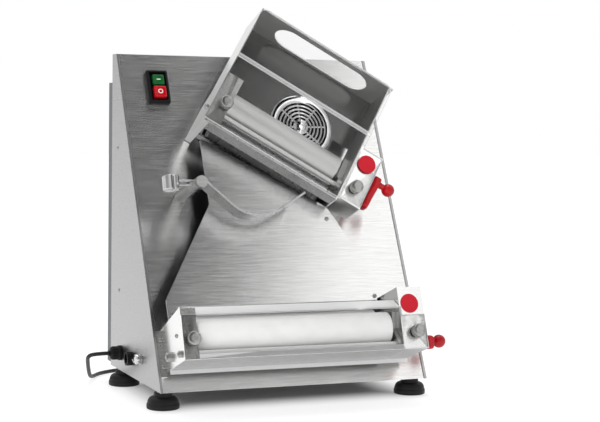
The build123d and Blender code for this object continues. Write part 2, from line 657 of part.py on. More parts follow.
def bearing_block(unit, x0):
    """Plate that carries one end of the front roller and slides on two guide pins, moved by the eccentric."""
    y, z = unit.front_axis
    shaft_y, shaft_z = unit.shaft
    way_y, way_z = opening_way(unit)
    way = atan2(way_z, way_y)
    x1 = x0 + unit.block_width
    drop = ECCENTRIC_OFFSET * (1 - cos(radians(CAM_SWING / 2)))
    frame = Pos(0, y, z) * Rot(degrees(way), 0, 0)
    half_length = GUIDE_PIN_OFFSET + BLOCK_END
    plate = frame * block(x0, x1, -BLOCK_HALF, BLOCK_HALF, -half_length, half_length)
    reach = hypot(shaft_y - y, shaft_z - z)
    towards = degrees(atan2(shaft_z - z, shaft_y - y))
    plate += Pos(0, y, z) * Rot(towards, 0, 0) * block(x0, x1, 0, reach, -BLOCK_HEAD, BLOCK_HEAD)
    plate += eccentric(unit, x0, x1, BLOCK_HEAD, drop)
    plate -= rod_x(x0 - PAST, x1 + PAST, y, z, JOURNAL_RADIUS + RUNNING_CLEARANCE)
    for side in (-1, 1):
        pin_y = y - side * GUIDE_PIN_OFFSET * way_z
        pin_z = z + side * GUIDE_PIN_OFFSET * way_y
        plate -= slot_x(x0 - PAST, x1 + PAST, pin_y, pin_z, GUIDE_PIN_RADIUS + RUNNING_CLEARANCE,
                        2 * GAP_TRAVEL + BLOCK_SLOT_SPARE, way)
    plate -= eccentric(unit, x0 - PAST, x1 + PAST, ECCENTRIC_RADIUS + ECCENTRIC_CLEARANCE, drop)
    return plate


def eccentric(unit, x0, x1, radius, stretch=0.0):
    """Eccentric on the gap shaft as it lies at rest, or the slot that it runs in when stretched."""
    way_y, way_z = opening_way(unit)
    way = atan2(way_z, way_y)
    along = ECCENTRIC_OFFSET * sin(radians(CAM_SWING / 2)) * (1 if unit.open_at_rest else -1)
    across = ECCENTRIC_OFFSET * cos(radians(CAM_SWING / 2))
    y = unit.shaft[0] + along * way_y + (across + stretch / 2) * way_z
    z = unit.shaft[1] + along * way_z - (across + stretch / 2) * way_y
    if stretch:
        return slot_x(x0, x1, y, z, radius, 2 * stretch, way + pi / 2)
    return rod_x(x0, x1, y, z, radius)


def guide_pins(unit, x0, x1):
    """Two pins on a cheek that the bearing block slides on."""
    y, z = unit.front_axis
    way_y, way_z = opening_way(unit)
    pins = []
    for side in (-1, 1):
        pins.append(rod_x(x0, x1, y - side * GUIDE_PIN_OFFSET * way_z, z + side * GUIDE_PIN_OFFSET * way_y,
                          GUIDE_PIN_RADIUS))
    return pins


def make_drive(name, unit, frame):
    """Rollers, gears, bearing blocks, gap shaft and lever of one unit."""
    left_in = unit.left + SHEET
    right_out = unit.right_plate + SHEET
    gear_x = right_out + GEAR_GAP
    end_x = gear_x + GEAR_WIDTH
    roll0, roll1 = unit.roller_ends
    pinion_axis, angle, roller_pitch, pinion_pitch = pinion_place(unit)

    front = rod_x(roll0, roll1, *unit.front_axis, unit.roller)
    front = fillet(front.edges().filter_by(GeomType.CIRCLE), ROLLER_EDGE)
    front += rod_x(left_in + JOURNAL_END_GAP, end_x, *unit.front_axis, JOURNAL_RADIUS)
    save(f"{name}_front_roller", placed(frame, front))
    rear = rod_x(roll0, roll1, *unit.rear_axis, unit.roller)
    rear = fillet(rear.edges().filter_by(GeomType.CIRCLE), ROLLER_EDGE)
    rear += rod_x(left_in + BLOCK_GAP, end_x, *unit.rear_axis, JOURNAL_RADIUS)
    save(f"{name}_rear_roller", placed(frame, rear))

    way_y, way_z = opening_way(unit)
    to_front = atan2(way_z, way_y)
    tooth = 2 * pi / ROLLER_GEAR_TEETH
    rear_gear = gear(ROLLER_GEAR_TEETH, roller_pitch, to_front)
    front_gear = gear(ROLLER_GEAR_TEETH, roller_pitch, to_front + pi + tooth / 2)
    shift = (angle - to_front) % tooth
    ratio = ROLLER_GEAR_TEETH / PINION_TEETH
    pinion = gear(PINION_TEETH, pinion_pitch, angle + pi + shift * ratio + pi / PINION_TEETH)
    bore = rod_x(-PAST, GEAR_WIDTH + PAST, 0, 0, JOURNAL_RADIUS)
    save(f"{name}_front_gear", placed(frame, Pos(gear_x, *unit.front_axis) * (front_gear - bore)))
    save(f"{name}_rear_gear", placed(frame, Pos(gear_x, *unit.rear_axis) * (rear_gear - bore)))
    pinion += rod_x(unit.right_plate - gear_x - PINION_SHAFT_DEPTH, 0, 0, 0, PINION_SHAFT_RADIUS)
    save(f"{name}_pinion", placed(frame, Pos(gear_x, *pinion_axis) * pinion))

    left_block = bearing_block(unit, left_in + BLOCK_GAP)
    right_block = bearing_block(unit, unit.right_plate - BLOCK_GAP - unit.block_width)
    save(f"{name}_bearing_blocks", placed(frame, left_block), placed(frame, right_block))

    lever_x = right_out + unit.cover_width + LEVER_GAP
    shaft = rod_x(unit.left, lever_x, *unit.shaft, SHAFT_RADIUS)
    shaft += eccentric(unit, left_in + BLOCK_GAP, left_in + BLOCK_GAP + unit.block_width, ECCENTRIC_RADIUS)
    shaft += eccentric(unit, unit.right_plate - BLOCK_GAP - unit.block_width, unit.right_plate - BLOCK_GAP,
                       ECCENTRIC_RADIUS)
    save(f"{name}_gap_shaft", placed(frame, shaft))
    save(f"{name}_gap_lever", placed(frame, Pos(lever_x, *unit.shaft) * lever(unit)))


def lever(unit):
    """Red lever: a hub, an arm that thickens towards its end, a neck and a ball."""
    hub = rod_x(0, LEVER_THICKNESS, 0, 0, LEVER_HUB_RADIUS)
    near = Pos(LEVER_THICKNESS / 2, 0) * Rectangle(LEVER_THICKNESS, LEVER_HUB_WIDTH)
    far = Pos(LEVER_END_OUT, 0) * Rectangle(LEVER_END_THICKNESS, LEVER_END_WIDTH)
    arm = loft([Plane.XZ * near, Plane.XZ.offset(-LEVER_ARM) * far])
    neck = rod_x(LEVER_THICKNESS, unit.ball_out, LEVER_ARM - NECK_INSET, 0, NECK_RADIUS)
    ball = Pos(unit.ball_out, LEVER_ARM - NECK_INSET, 0) * Sphere(BALL_RADIUS)
    return Rot(unit.lever_angle, 0, 0) * (hub + arm + neck + ball)


def make_upper():
    """Frame, hopper, guard and covers of the upper unit."""
    unit = UPPER
    left, left_in, front = unit.left, unit.left + SHEET, unit.front
    plate, plate_out = unit.right_plate, unit.right_plate + SHEET
    y0, y1 = UPPER_COVER

    def put(name, *shapes):
        save(name, *[placed(UPPER_FRAME, shape) for shape in shapes])

    rear_y, rear_z = unit.rear_axis
    tail_y0, tail_y1, tail_drop = UPPER_CHEEK_TAIL
    cheek = side_plate([(UPPER_BOTTOM, UPPER_CHEEK_BACK), (UPPER_BOTTOM, front), (UPPER_TOP, front),
                        (UPPER_TOP, UPPER_BACK), (0, UPPER_BACK), (tail_y1, rear_z - tail_drop),
                        (tail_y0, rear_z - tail_drop)], left, left_in)
    flange_in, flange_y0, flange_y1 = UPPER_FLANGE
    cheek += block(left, flange_in, flange_y0, flange_y1, front - SHEET, front)
    cheek += block(left, left + UPPER_BOTTOM_FLANGE, UPPER_BOTTOM, UPPER_BOTTOM + SHEET,
                   UPPER_CHEEK_BACK, front)
    for pin in guide_pins(unit, left, left_in + BLOCK_GAP + unit.block_width + GUIDE_PIN_END):
        cheek += pin
    cheek = drill_left_cheek(cheek, unit)
    put("upper_left_cheek", cheek)

    motor_back = pinion_place(unit)[0][1] - MOTOR_PLATE_DROP
    motor_y0, motor_y1 = UPPER_MOTOR_PLATE
    rail_y, rail_z = UPPER_RAIL
    right = side_plate([(rail_y, UPPER_PLATE_BACK), (rail_y, front), (UPPER_TOP - SHEET, front),
                        (UPPER_TOP - SHEET, UPPER_BACK), (motor_y1, UPPER_BACK), (motor_y1, motor_back),
                        (motor_y0, motor_back), (motor_y0, UPPER_PLATE_BACK)], plate, plate_out)
    for pin in guide_pins(unit, plate - BLOCK_GAP - unit.block_width - GUIDE_PIN_END, plate_out):
        right += pin
    right = drill_right_plate(right, unit)
    put("upper_right_plate", right)

    width = unit.cover_width
    rear_y0, rear_y1 = UPPER_COVER_REAR
    rear_x = plate_out + UPPER_COVER_REAR_WIDTH
    cover = block(plate_out, plate_out + width, y0, y1, UPPER_COVER_BACK, front)
    cover -= block(plate_out - PAST, plate_out + width - COVER_WALL, y0 + COVER_WALL, y1 - COVER_WALL,
                   UPPER_COVER_BACK + COVER_WALL, front - SHEET)
    cover += block(plate_out, rear_x, rear_y0, rear_y1, -BEHIND, UPPER_COVER_BACK + COVER_WALL)
    cover -= block(plate_out - PAST, rear_x - COVER_WALL, rear_y0 + COVER_WALL, rear_y1 - COVER_WALL,
                   -BEHIND - PAST, front / 2)
    cover = drill_cover(cover, unit)
    save("upper_gear_cover", placed(UPPER_FRAME, cover) - BEHIND_FRONT)

    centre_x, centre_y = GRILLE_CENTRE
    back = block(left_in, HOPPER_BACK_RIGHT, HOPPER_BACK_BOTTOM, UPPER_TOP - SHEET, 0, SHEET)
    back += block(HOPPER_BACK_RIGHT, plate, GUARD_FOLD, UPPER_TOP - SHEET, 0, SHEET)
    back -= rod_z(-PAST, SHEET + PAST, centre_x, centre_y, GRILLE_RADIUS - GRILLE_RIM)
    put("upper_back_plate", back)

    slot_x0, slot_z0 = HOPPER_SLOT_CENTRE
    top = block(left_in, HOPPER_RIGHT, UPPER_TOP - SHEET, UPPER_TOP, UPPER_BACK, front)
    hole = Plane.XZ * Pos(slot_x0, slot_z0) * SlotOverall(HOPPER_SLOT_LENGTH, HOPPER_SLOT_WIDTH)
    top -= Pos(0, UPPER_TOP + PAST, 0) * extrude(hole, amount=SHEET + 2 * PAST)
    put("hopper_top", top)
    put("fan_grille", Pos(centre_x, centre_y, SHEET) * grille())

    guard_right = HOPPER_RIGHT - GUARD_INSET
    guard = block(left, guard_right, flange_y0, UPPER_TOP, 0, GUARD_THICKNESS)
    guard = fillet(guard.edges().filter_by(Axis.Z).group_by(Axis.Y)[-1], GUARD_CORNER)
    guard += block(guard_right - PAST, plate_out + width - PAST, y0 + GUARD_INSET, y1 - GUARD_INSET,
                   0, GUARD_THICKNESS)
    rib_y0, rib_y1 = GUARD_FOLD - GUARD_RIB / 2, GUARD_FOLD + GUARD_RIB / 2
    guard += block(left, guard_right, rib_y0, rib_y1, 0, 2 * GUARD_THICKNESS)
    for x, y in unit.thumbs:
        guard -= rod_z(-PAST, GUARD_THICKNESS + PAST, x, y, THUMB_STEM_RADIUS)
    put("upper_guard", Pos(0, 0, front) * guard)

    rail_top = rail_y + UPPER_RAIL_THICKNESS
    rail = block(left_in, plate, rail_y, rail_top, rail_z, front)
    front_y, front_z = unit.front_axis
    tip = front_y - unit.roller - SCRAPER_GAP
    blade_z = front_z + UPPER_BLADE_OFFSET
    rail += block(*unit.roller_ends, rail_y, tip, blade_z, blade_z + SCRAPER_THICKNESS)
    rear_rail = block(left_in, plate, rail_y, rail_top, *REAR_RAIL)
    rear_tip = rear_y - sqrt((unit.roller + SCRAPER_GAP) ** 2 - (REAR_BLADE - rear_z) ** 2)
    rear_rail += block(*unit.roller_ends, rail_y, rear_tip, REAR_BLADE, REAR_BLADE + SCRAPER_THICKNESS)
    put("upper_scrapers", rail, rear_rail)

    posts = [placed(UPPER_FRAME, rod_z(-BEHIND, 0, x, y, STANDOFF_RADIUS)) for x, y in STANDOFF_POSTS]
    save("upper_standoffs", *[post - BEHIND_FRONT for post in posts])


def drill_left_cheek(cheek, unit):
    """Seat for the rear roller's bush inside a left cheek, and its gap shaft and thumb screw holes."""
    left_in = unit.left + SHEET
    seat_end = left_in + BUSH_LENGTH
    cheek += rod_x(unit.left, seat_end, *unit.rear_axis, BUSH_RADIUS + BUSH_SEAT_WALL)
    cheek -= rod_x(left_in, seat_end + PAST, *unit.rear_axis, BUSH_RADIUS)
    cheek -= rod_x(unit.left - PAST, left_in + PAST, *unit.shaft, SHAFT_RADIUS + RUNNING_CLEARANCE)
    cheek -= rod_z(unit.front - THUMB_HOLE_DEPTH, unit.front + PAST, *unit.thumbs[0], THUMB_STEM_RADIUS)
    return cheek


def drill_cover(cover, unit):
    """Holes in a gear cover for the gap shaft and the right thumb screw."""
    x0 = unit.right_plate + SHEET
    cover -= rod_x(x0, x0 + unit.cover_width + PAST, *unit.shaft, SHAFT_RADIUS + SLIP_CLEARANCE)
    cover -= rod_z(unit.front - THUMB_HOLE_DEPTH, unit.front + PAST, *unit.thumbs[1], THUMB_STEM_RADIUS)
    return cover


def drill_right_plate(plate, unit):
    """Holes in a right plate: slot for the front journal, bush seat, gap shaft and motor shaft."""
    x0, x1 = unit.right_plate - PAST, unit.right_plate + SHEET + PAST
    way_y, way_z = opening_way(unit)
    plate -= slot_x(x0, x1, *unit.front_axis, JOURNAL_RADIUS + JOURNAL_END_GAP, 2 * GAP_TRAVEL,
                    atan2(way_z, way_y))
    plate -= rod_x(x0, x1, *unit.rear_axis, BUSH_RADIUS)
    plate -= rod_x(x0, x1, *unit.shaft, SHAFT_RADIUS + RUNNING_CLEARANCE)
    plate -= rod_x(x0, x1, *pinion_place(unit)[0], PINION_SHAFT_RADIUS + SLIP_CLEARANCE)
    return plate


def grille():
    """Round vent grille: hub, rings, spokes and a wide rim."""
    rim_in = GRILLE_RADIUS - GRILLE_RIM
    face = Circle(GRILLE_RADIUS) - Circle(rim_in) + Circle(GRILLE_HUB)
    pitch = (rim_in - GRILLE_HUB) / (GRILLE_RINGS + 0.5)
    for i in range(GRILLE_RINGS):
        radius = GRILLE_HUB + pitch * (i + 0.75)
        face += Circle(radius + GRILLE_WIRE / 2) - Circle(radius - GRILLE_WIRE / 2)
    for i in range(GRILLE_SPOKES):
        spoke = Pos((GRILLE_HUB + rim_in) / 2, 0) * Rectangle(rim_in - GRILLE_HUB + GRILLE_WIRE, GRILLE_WIRE)
        face += Rot(0, 0, 90 + UPPER_ROLL + 360 * i / GRILLE_SPOKES) * spoke
    body = extrude(face, amount=GRILLE_DEPTH)
    return body + rod_z(GRILLE_DEPTH, GRILLE_DEPTH + GRILLE_BOSS_DEPTH, 0, 0, GRILLE_BOSS_RADIUS)


def make_lower():
    """Frame, bottom plate, guard and cover of the lower unit."""
    unit = LOWER
    left, left_in, front = unit.left, unit.left + SHEET, unit.front
    plate, plate_out = unit.right_plate, unit.right_plate + SHEET
    y0 = LOWER_BOTTOM

    def put(name, *shapes):
        save(name, *[placed(LOWER_FRAME, shape) for shape in shapes])

    back = LOWER_CHEEK_BACK
    cheek = side_plate([(y0, back), (y0, front), (LOWER_CHEEK_TOP, front),
                        (LOWER_CHEEK_TOP - LOWER_CHEEK_FALL * (front - back), back)], left, left_in)
    flange_in, flange_y0, flange_y1 = LOWER_FLANGE
    cheek += block(left, flange_in, flange_y0, flange_y1, front - SHEET, front)
    for pin in guide_pins(unit, left, left_in + BLOCK_GAP + unit.block_width + GUIDE_PIN_END):
        cheek += pin
    cheek = placed(LOWER_FRAME, drill_left_cheek(cheek, unit)) - BEHIND_FRONT
    foot_s0, foot_s1 = LOWER_CHEEK_FOOT
    foot_x = HEM_WIDTH + SLIP_CLEARANCE - HALF_WIDTH
    cheek += placed(FRONT, block(foot_x, left_in, foot_s0, foot_s1, 0, SHEET))
    save("lower_left_cheek", cheek)

    motor_y, motor_z = pinion_place(unit)[0]
    cover_y0, cover_y1 = LOWER_COVER
    motor_y0, motor_y1 = motor_y - LOWER_MOTOR_PLATE_HALF, motor_y + LOWER_MOTOR_PLATE_HALF
    motor_back = motor_z - MOTOR_PLATE_DROP
    rear = LOWER_PLATE_REAR
    right = side_plate([(cover_y0 + SHEET, rear), (cover_y0 + SHEET, front), (cover_y1, front),
                        (cover_y1, rear), (motor_y1, rear), (motor_y1, motor_back), (motor_y0, motor_back),
                        (motor_y0, rear)],
                       plate, plate_out)
    for pin in guide_pins(unit, plate - BLOCK_GAP - unit.block_width - GUIDE_PIN_END, plate_out):
        right += pin
    put("lower_right_plate", drill_right_plate(right, unit))

    width = unit.cover_width
    cover = block(plate_out, plate_out + width, cover_y0, cover_y1, -BEHIND, front)
    cover -= block(plate_out - PAST, plate_out + width - COVER_WALL, cover_y0 + COVER_WALL,
                   cover_y1 - COVER_WALL, -BEHIND - PAST, front - SHEET)
    save("lower_gear_cover", placed(LOWER_FRAME, drill_cover(cover, unit)) - BEHIND_FRONT)

    back = LOWER_PLATE_BACK
    bottom = block(left_in, plate_out, y0, y0 + SHEET, back, front - SHEET)
    bottom += block(flange_in, plate, y0, y0 + LOWER_LIP, front - SHEET, front)
    bottom += block(left_in, plate_out + width, y0 - LOWER_DRIP, y0, back, back + SHEET)
    put("lower_bottom_plate", bottom)

    guard = block(left, plate_out, y0, LOWER_GUARD_TOP, 0, GUARD_THICKNESS)
    guard += block(plate_out - PAST, plate_out + width - PAST, y0, LOWER_TAB_TOP, 0, GUARD_THICKNESS)
    bend_y, bend_z = LOWER_GUARD_BEND
    bend_z -= front
    guard += side_plate([(LOWER_GUARD_TOP - GUARD_INSET, 0), (LOWER_GUARD_TOP, GUARD_THICKNESS),
                         (bend_y, bend_z + GUARD_THICKNESS), (bend_y - GUARD_INSET, bend_z)],
                        flange_in + PAST, plate - PAST)
    for x, y in unit.thumbs:
        guard -= rod_z(-PAST, GUARD_THICKNESS + PAST, x, y, THUMB_STEM_RADIUS)
    put("lower_guard", Pos(0, 0, front) * guard)

    front_y, front_z = unit.front_axis
    tip = front_y - sqrt((unit.roller + SCRAPER_GAP) ** 2 - LOWER_BLADE_OFFSET ** 2)
    blade_z = front_z - LOWER_BLADE_OFFSET
    blade = block(*unit.roller_ends, y0 + SHEET, tip, blade_z - SCRAPER_THICKNESS, blade_z)
    foot_depth, foot_thickness = LOWER_BLADE_FOOT
    foot = block(left_in, plate, y0 + SHEET, y0 + SHEET + foot_thickness, blade_z - foot_depth, blade_z)
    put("lower_scraper", blade + foot)


def make_shared():
    """Thumb screws, red discs, roller bushes and gearmotors, which the two units share."""
    screw = rod_z(0, THUMB_LENGTH, 0, 0, THUMB_RADIUS)
    screw = fillet(screw.edges().filter_by(GeomType.CIRCLE), THUMB_EDGE)
    screw += rod_z(-THUMB_STEM_LENGTH, 0, 0, 0, THUMB_STEM_RADIUS)
    disc = rod_z(0, DISC_THICKNESS, 0, 0, DISC_RADIUS)
    screws, bushes, motors = [], [], []
    for unit, frame in ((UPPER, UPPER_FRAME), (LOWER, LOWER_FRAME)):
        for x, y in unit.thumbs:
            screws.append(placed(frame, Pos(x, y, unit.front + GUARD_THICKNESS) * screw))
        for x in (unit.left + SHEET, unit.right_plate + SHEET - BUSH_LENGTH):
            bush = rod_x(0, BUSH_LENGTH, 0, 0, BUSH_RADIUS)
            bush -= rod_x(-PAST, BUSH_LENGTH + PAST, 0, 0, JOURNAL_RADIUS + RUNNING_CLEARANCE)
            bushes.append(placed(frame, Pos(x, *unit.rear_axis) * bush))
        y, z = pinion_place(unit)[0]
        motor = block(-GEARBOX_LENGTH, 0, -GEARBOX_HALF, GEARBOX_HALF,
                      GEARBOX_FRONT - 2 * GEARBOX_HALF, GEARBOX_FRONT)
        motor += rod_x(-GEARBOX_LENGTH - MOTOR_LENGTH, -GEARBOX_LENGTH, 0, -MOTOR_OFFSET, MOTOR_RADIUS)
        motor -= rod_x(-PINION_BORE_DEPTH, PAST, 0, 0, PINION_SHAFT_RADIUS + RUNNING_CLEARANCE)
        motors.append(placed(frame, Pos(unit.right_plate, y, z) * motor))
    save("thumb_screws", *screws)
    save("roller_bushes", *bushes)
    save("gearmotors", *motors)
    upper_disc = placed(UPPER_FRAME, Pos(*UPPER.disc, UPPER.front + GUARD_THICKNESS) * disc)
    lower_disc = placed(LOWER_FRAME, Pos(*LOWER.disc, LOWER.front) * disc)
    save("red_discs", upper_disc, lower_disc)


def make_balance_arm():
    """Pivot pin, curved strap with its eye, and the split counterweight on two rods."""
    collar = rod_z(-BEHIND, STRAP_BACK - EYE_BACK - SLIP_CLEARANCE, 0, 0, PIN_COLLAR_RADIUS)
    pin = placed(ARM_FRAME, collar) - BEHIND_FRONT
    head = rod_z(STRAP_FRONT + SLIP_CLEARANCE, PIN_LENGTH + PIN_HEAD, 0, 0, PIN_COLLAR_RADIUS)
    stem = placed(ARM_FRAME, rod_z(-BEHIND, PIN_LENGTH, 0, 0, PIN_RADIUS) + head)
    save("balance_pin", pin + (stem - placed(FRONT, block(-FAR, FAR, -FAR, FAR, -FAR, -PIN_SUNK))))

    path = FilletPolyline(STRAP_START, STRAP_CORNER, STRAP_END, radius=STRAP_BEND)
    strap = extrude(trace(path, STRAP_THICKNESS), amount=STRAP_FRONT - STRAP_BACK)
    strap += rod_z(-EYE_BACK, STRAP_FRONT - STRAP_BACK, 0, 0, EYE_RADIUS)
    rod_depth = ARM_ROD_DEPTH - STRAP_BACK
    for y in ARM_ROD_HEIGHTS:
        strap += rod_x(WEIGHT_X + WEIGHT_ROD_END, -ARM_ROD_SUNK, y, rod_depth, ARM_ROD_RADIUS)
    strap -= rod_z(-EYE_BACK - PAST, STRAP_FRONT - STRAP_BACK + PAST, 0, 0, PIN_RADIUS + RUNNING_CLEARANCE)
    save("balance_arm", placed(ARM_FRAME, Pos(0, 0, STRAP_BACK) * strap))

    middle = sum(ARM_ROD_HEIGHTS) / 2
    y0, y1 = middle - WEIGHT_HEIGHT / 2, middle + WEIGHT_HEIGHT / 2
    weight = rod_y(y0, y1, WEIGHT_X, ARM_ROD_DEPTH, WEIGHT_RADIUS)
    weight = fillet(weight.edges().filter_by(GeomType.CIRCLE), WEIGHT_EDGE)
    slit_z = ARM_ROD_DEPTH + WEIGHT_RADIUS
    weight -= block(WEIGHT_X - WEIGHT_SLIT / 2, WEIGHT_X + WEIGHT_SLIT / 2, y0 - PAST, y1 + PAST,
                    slit_z - WEIGHT_SLIT_DEPTH, slit_z + PAST)
    for y in ARM_ROD_HEIGHTS:
        weight -= rod_x(WEIGHT_X + WEIGHT_ROD_END, WEIGHT_X + WEIGHT_RADIUS + PAST, y, ARM_ROD_DEPTH,
                        ARM_ROD_RADIUS)
    save("counterweight", placed(ARM_FRAME, weight))


# Front rollers as they lie at rest: the upper pair open, the lower pair closed
for pair in (UPPER, LOWER):
    pair.front_axis = front_place(pair)

make_body()
make_feet()
make_switch()
make_side_fittings()
make_cord()
make_chute()
make_upper()
make_lower()
make_drive("upper", UPPER, UPPER_FRAME)
make_drive("lower", LOWER, LOWER_FRAME)
make_shared()
make_balance_arm()
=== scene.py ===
import math

import bmesh
import bpy
import numpy as np
from mathutils import Matrix, Vector


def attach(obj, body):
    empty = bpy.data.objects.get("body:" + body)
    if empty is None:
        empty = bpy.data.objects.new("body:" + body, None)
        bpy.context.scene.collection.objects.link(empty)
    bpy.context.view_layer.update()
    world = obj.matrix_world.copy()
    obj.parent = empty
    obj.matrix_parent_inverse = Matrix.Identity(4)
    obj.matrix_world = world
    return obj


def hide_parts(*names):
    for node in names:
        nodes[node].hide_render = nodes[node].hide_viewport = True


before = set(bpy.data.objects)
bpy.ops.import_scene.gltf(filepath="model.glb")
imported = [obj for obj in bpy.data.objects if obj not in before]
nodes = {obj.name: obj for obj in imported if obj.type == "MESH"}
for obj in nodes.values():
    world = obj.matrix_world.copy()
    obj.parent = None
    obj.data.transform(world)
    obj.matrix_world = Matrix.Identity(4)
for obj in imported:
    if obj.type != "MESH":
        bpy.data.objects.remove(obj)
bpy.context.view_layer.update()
scene = bpy.context.scene

# Lengths are in millimetres, and MM turns them to metres. The lamps, the floor and the nodes are in metres.
MM = 0.001
PER_METRE = 1000.0
TURN = 2 * math.pi
QUARTER = math.pi / 2
UP = np.array([0.0, 0.0, 1.0])
SHIFT = np.array([-4.0, 20.0, 0.0])          # from the middle of the feet to the model's origin
FRONT_LEAN = math.atan2(257.0, 509.0)        # lean of the front panel, from its depth and height
UNIT_LEAN = FRONT_LEAN - math.radians(6.79)  # lean of both roller units
UPPER_ROLL = math.radians(32.5)              # slope of the upper rollers, down to the right


# Camera, at the photograph's angle

FOCAL_LENGTH, FILM_WIDTH = 91.74, 36.0
CAMERA_PLACE = np.array([-884.0, -2289.0, 440.0])
CAMERA_TURNS = [math.radians(angle) for angle in (22.33, -3.52, 0.78)]  # yaw, pitch and roll


def aim(yaw, pitch, roll):
    """Columns right, up and back of a camera that looks along +Y, then turns by yaw, pitch and roll."""
    ahead = np.array([math.sin(yaw) * math.cos(pitch), math.cos(yaw) * math.cos(pitch), math.sin(pitch)])
    right = np.array([math.cos(yaw), -math.sin(yaw), 0.0])
    up = np.cross(right, ahead)
    return np.stack([right * math.cos(roll) + up * math.sin(roll),
                     up * math.cos(roll) - right * math.sin(roll), -ahead], axis=1)


camera_data = bpy.data.cameras.new("camera")
camera_data.lens = FOCAL_LENGTH
camera_data.sensor_width = FILM_WIDTH
camera_data.sensor_fit = "HORIZONTAL"
camera = bpy.data.objects.new("camera", camera_data)
scene.collection.objects.link(camera)
camera_turn = Matrix(aim(*CAMERA_TURNS).tolist()).to_4x4()
camera.matrix_world = Matrix.Translation((CAMERA_PLACE + SHIFT) * MM) @ camera_turn
scene.camera = camera


# Frames of the slanted pieces

class Lean:
    """A leaning face: its origin, and rows for across, up the face and out of it."""

    def __init__(self, origin, lean, roll=0.0):
        up = np.array([0.0, math.sin(lean), math.cos(lean)])
        across = np.array([math.cos(roll), 0.0, 0.0]) - up * math.sin(roll)
        out = np.array([0.0, -math.cos(lean), math.sin(lean)])
        self.origin = np.asarray(origin, float)
        self.rows = np.stack([across, np.cross(out, across), out])

    def raw(self, points):
        """Points of this face, measured from the middle of the feet."""
        return self.origin + np.asarray(points, float) @ self.rows

    def at(self, points):
        """Points of this face as model points in metres."""
        return (self.raw(points) + SHIFT) * MM


UNIT_STANDOFF = 20.0  # from the front panel to the upper unit's back
unit_out = np.array([0.0, -math.cos(UNIT_LEAN), math.sin(UNIT_LEAN)])
front = Lean((0.0, -139.0, 28.6), FRONT_LEAN)
upper = Lean(front.raw((39.0, 418.3, 0.0)) + UNIT_STANDOFF * unit_out, UNIT_LEAN, UPPER_ROLL)
lower = Lean(front.raw((0.0, 63.74, 32.18)), UNIT_LEAN)
# what stands square on the bench keeps the model's own directions
bench = Lean((0.0, 0.0, 0.0), 0.0)
bench.rows = np.eye(3)


# Mains cord, from the gland to the coil behind the machine

CORD_DIAMETER = 6.5
COIL_PITCH = 7.0
COIL_RADIUS = 43.5
COIL_START = (-80.0, 230.0)
COIL_HALF_TURNS = 6
COIL_LOW = 4.55
TURN_STEPS = 8
PLUG_LEAD = 38.0
GLAND_END = (-240.0, 81.0, 57.0)
CORD_SMOOTH, CORD_ROUND = 6, 4  # steps between the route's points and round the cord


def half_turn(start, heading, radius, rise):
    """Points on half a circle to the left of the heading, evenly spaced, climbing by rise."""
    swing = (np.arange(TURN_STEPS) + 0.5) / TURN_STEPS * math.pi
    x = start[0] + heading * radius * np.sin(swing)
    y = start[1] + heading * radius * (1 - np.cos(swing))
    z = start[2] + rise * (1 - np.cos(swing)) / 2
    return np.stack([x, y, z], axis=1)


def cord_route():
    """The free route's own points, then the coil: half turns that spiral in, climb a layer and spiral out."""
    x, y, z = GLAND_END
    free = [(x, y, z), (x - 18, y, z), (x - 33, y + 4, z - 3), (x - 26, y + 30, z - 20),
            (x - 14, y + 66, COIL_LOW + 8), (x - 5, y + 87, COIL_LOW), (x + 16, y + 119, COIL_LOW),
            (x + 44, y + 137, COIL_LOW), (x + 76, COIL_START[1], COIL_LOW),
            (COIL_START[0] - CORD_DIAMETER, COIL_START[1], COIL_LOW)]
    inwards = [(COIL_RADIUS - i * COIL_PITCH / 2, 0.0) for i in range(COIL_HALF_TURNS)]
    climb = (COIL_RADIUS - COIL_HALF_TURNS * COIL_PITCH / 2, COIL_PITCH)
    points = [np.array(free)]
    here, heading = np.array([*COIL_START, COIL_LOW]), 1
    for radius, rise in inwards + [climb] + inwards[::-1]:
        points.append(half_turn(here, heading, radius, rise))
        here = here + np.array([0, 2 * radius * heading, rise])
        heading = -heading
    points.append(np.array([here, here + np.array([heading * PLUG_LEAD, 0, 0])]))
    return (np.concatenate(points) + SHIFT) * MM


route = cord_route()
cord_curve = bpy.data.curves.new("mains_cord", "CURVE")
cord_curve.dimensions = "3D"
spline = cord_curve.splines.new("NURBS")
spline.points.add(len(route) - 1)
spline.points.foreach_set("co", np.column_stack([route, np.ones(len(route))]).ravel())
spline.order_u = 3
spline.use_endpoint_u = True
spline.resolution_u = CORD_SMOOTH
# each point carries the cord's own radius, so that the curve's box is no wider than the cord
spline.points.foreach_set("radius", np.full(len(route), CORD_DIAMETER / 2 * MM))
cord_curve.bevel_depth = 1.0
cord_curve.bevel_resolution = CORD_ROUND
cord = bpy.data.objects.new("mains_cord", cord_curve)
scene.collection.objects.link(cord)
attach(cord, "body")
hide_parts("cord_stretch", "cord_coil")


# Materials

RELIEF = 0.0002                 # depth of every finish's bump, metres
NOISE_SPAN = (0.3, 0.7)         # where most values of a noise lie
STREAK_RATIO = 45               # length of a sanding streak over its width
STREAK_SMEAR = 0.8              # how far a mirrored thing is drawn out across the streaks
SPANGLES_PER_METRE = 420.0      # zinc spangles of about 2.4 mm
SPANGLE_SPAN = (0.35, 0.65)     # a narrower span, so that the spangles stand out more
MOTTLES_PER_METRE = 60.0        # clouds of colour of about 17 mm
HAZES_PER_METRE = 14.0          # clouds of haze of about 70 mm
LOOKS_OUT = {"From Min": 0.85, "From Max": 0.95}  # squareness of a face that looks out
LOOKS_BACK = -0.5                                 # squareness below which a face looks back
# painted shade: a dark grey and its roughness for faces that look back at the front panel, where shade falls
BACK_SHADE_GREY, BACK_SHADE_ROUGH = "#303030", 0.5
END_GREY, END_ROUGH = "#a6a6a6", 0.3
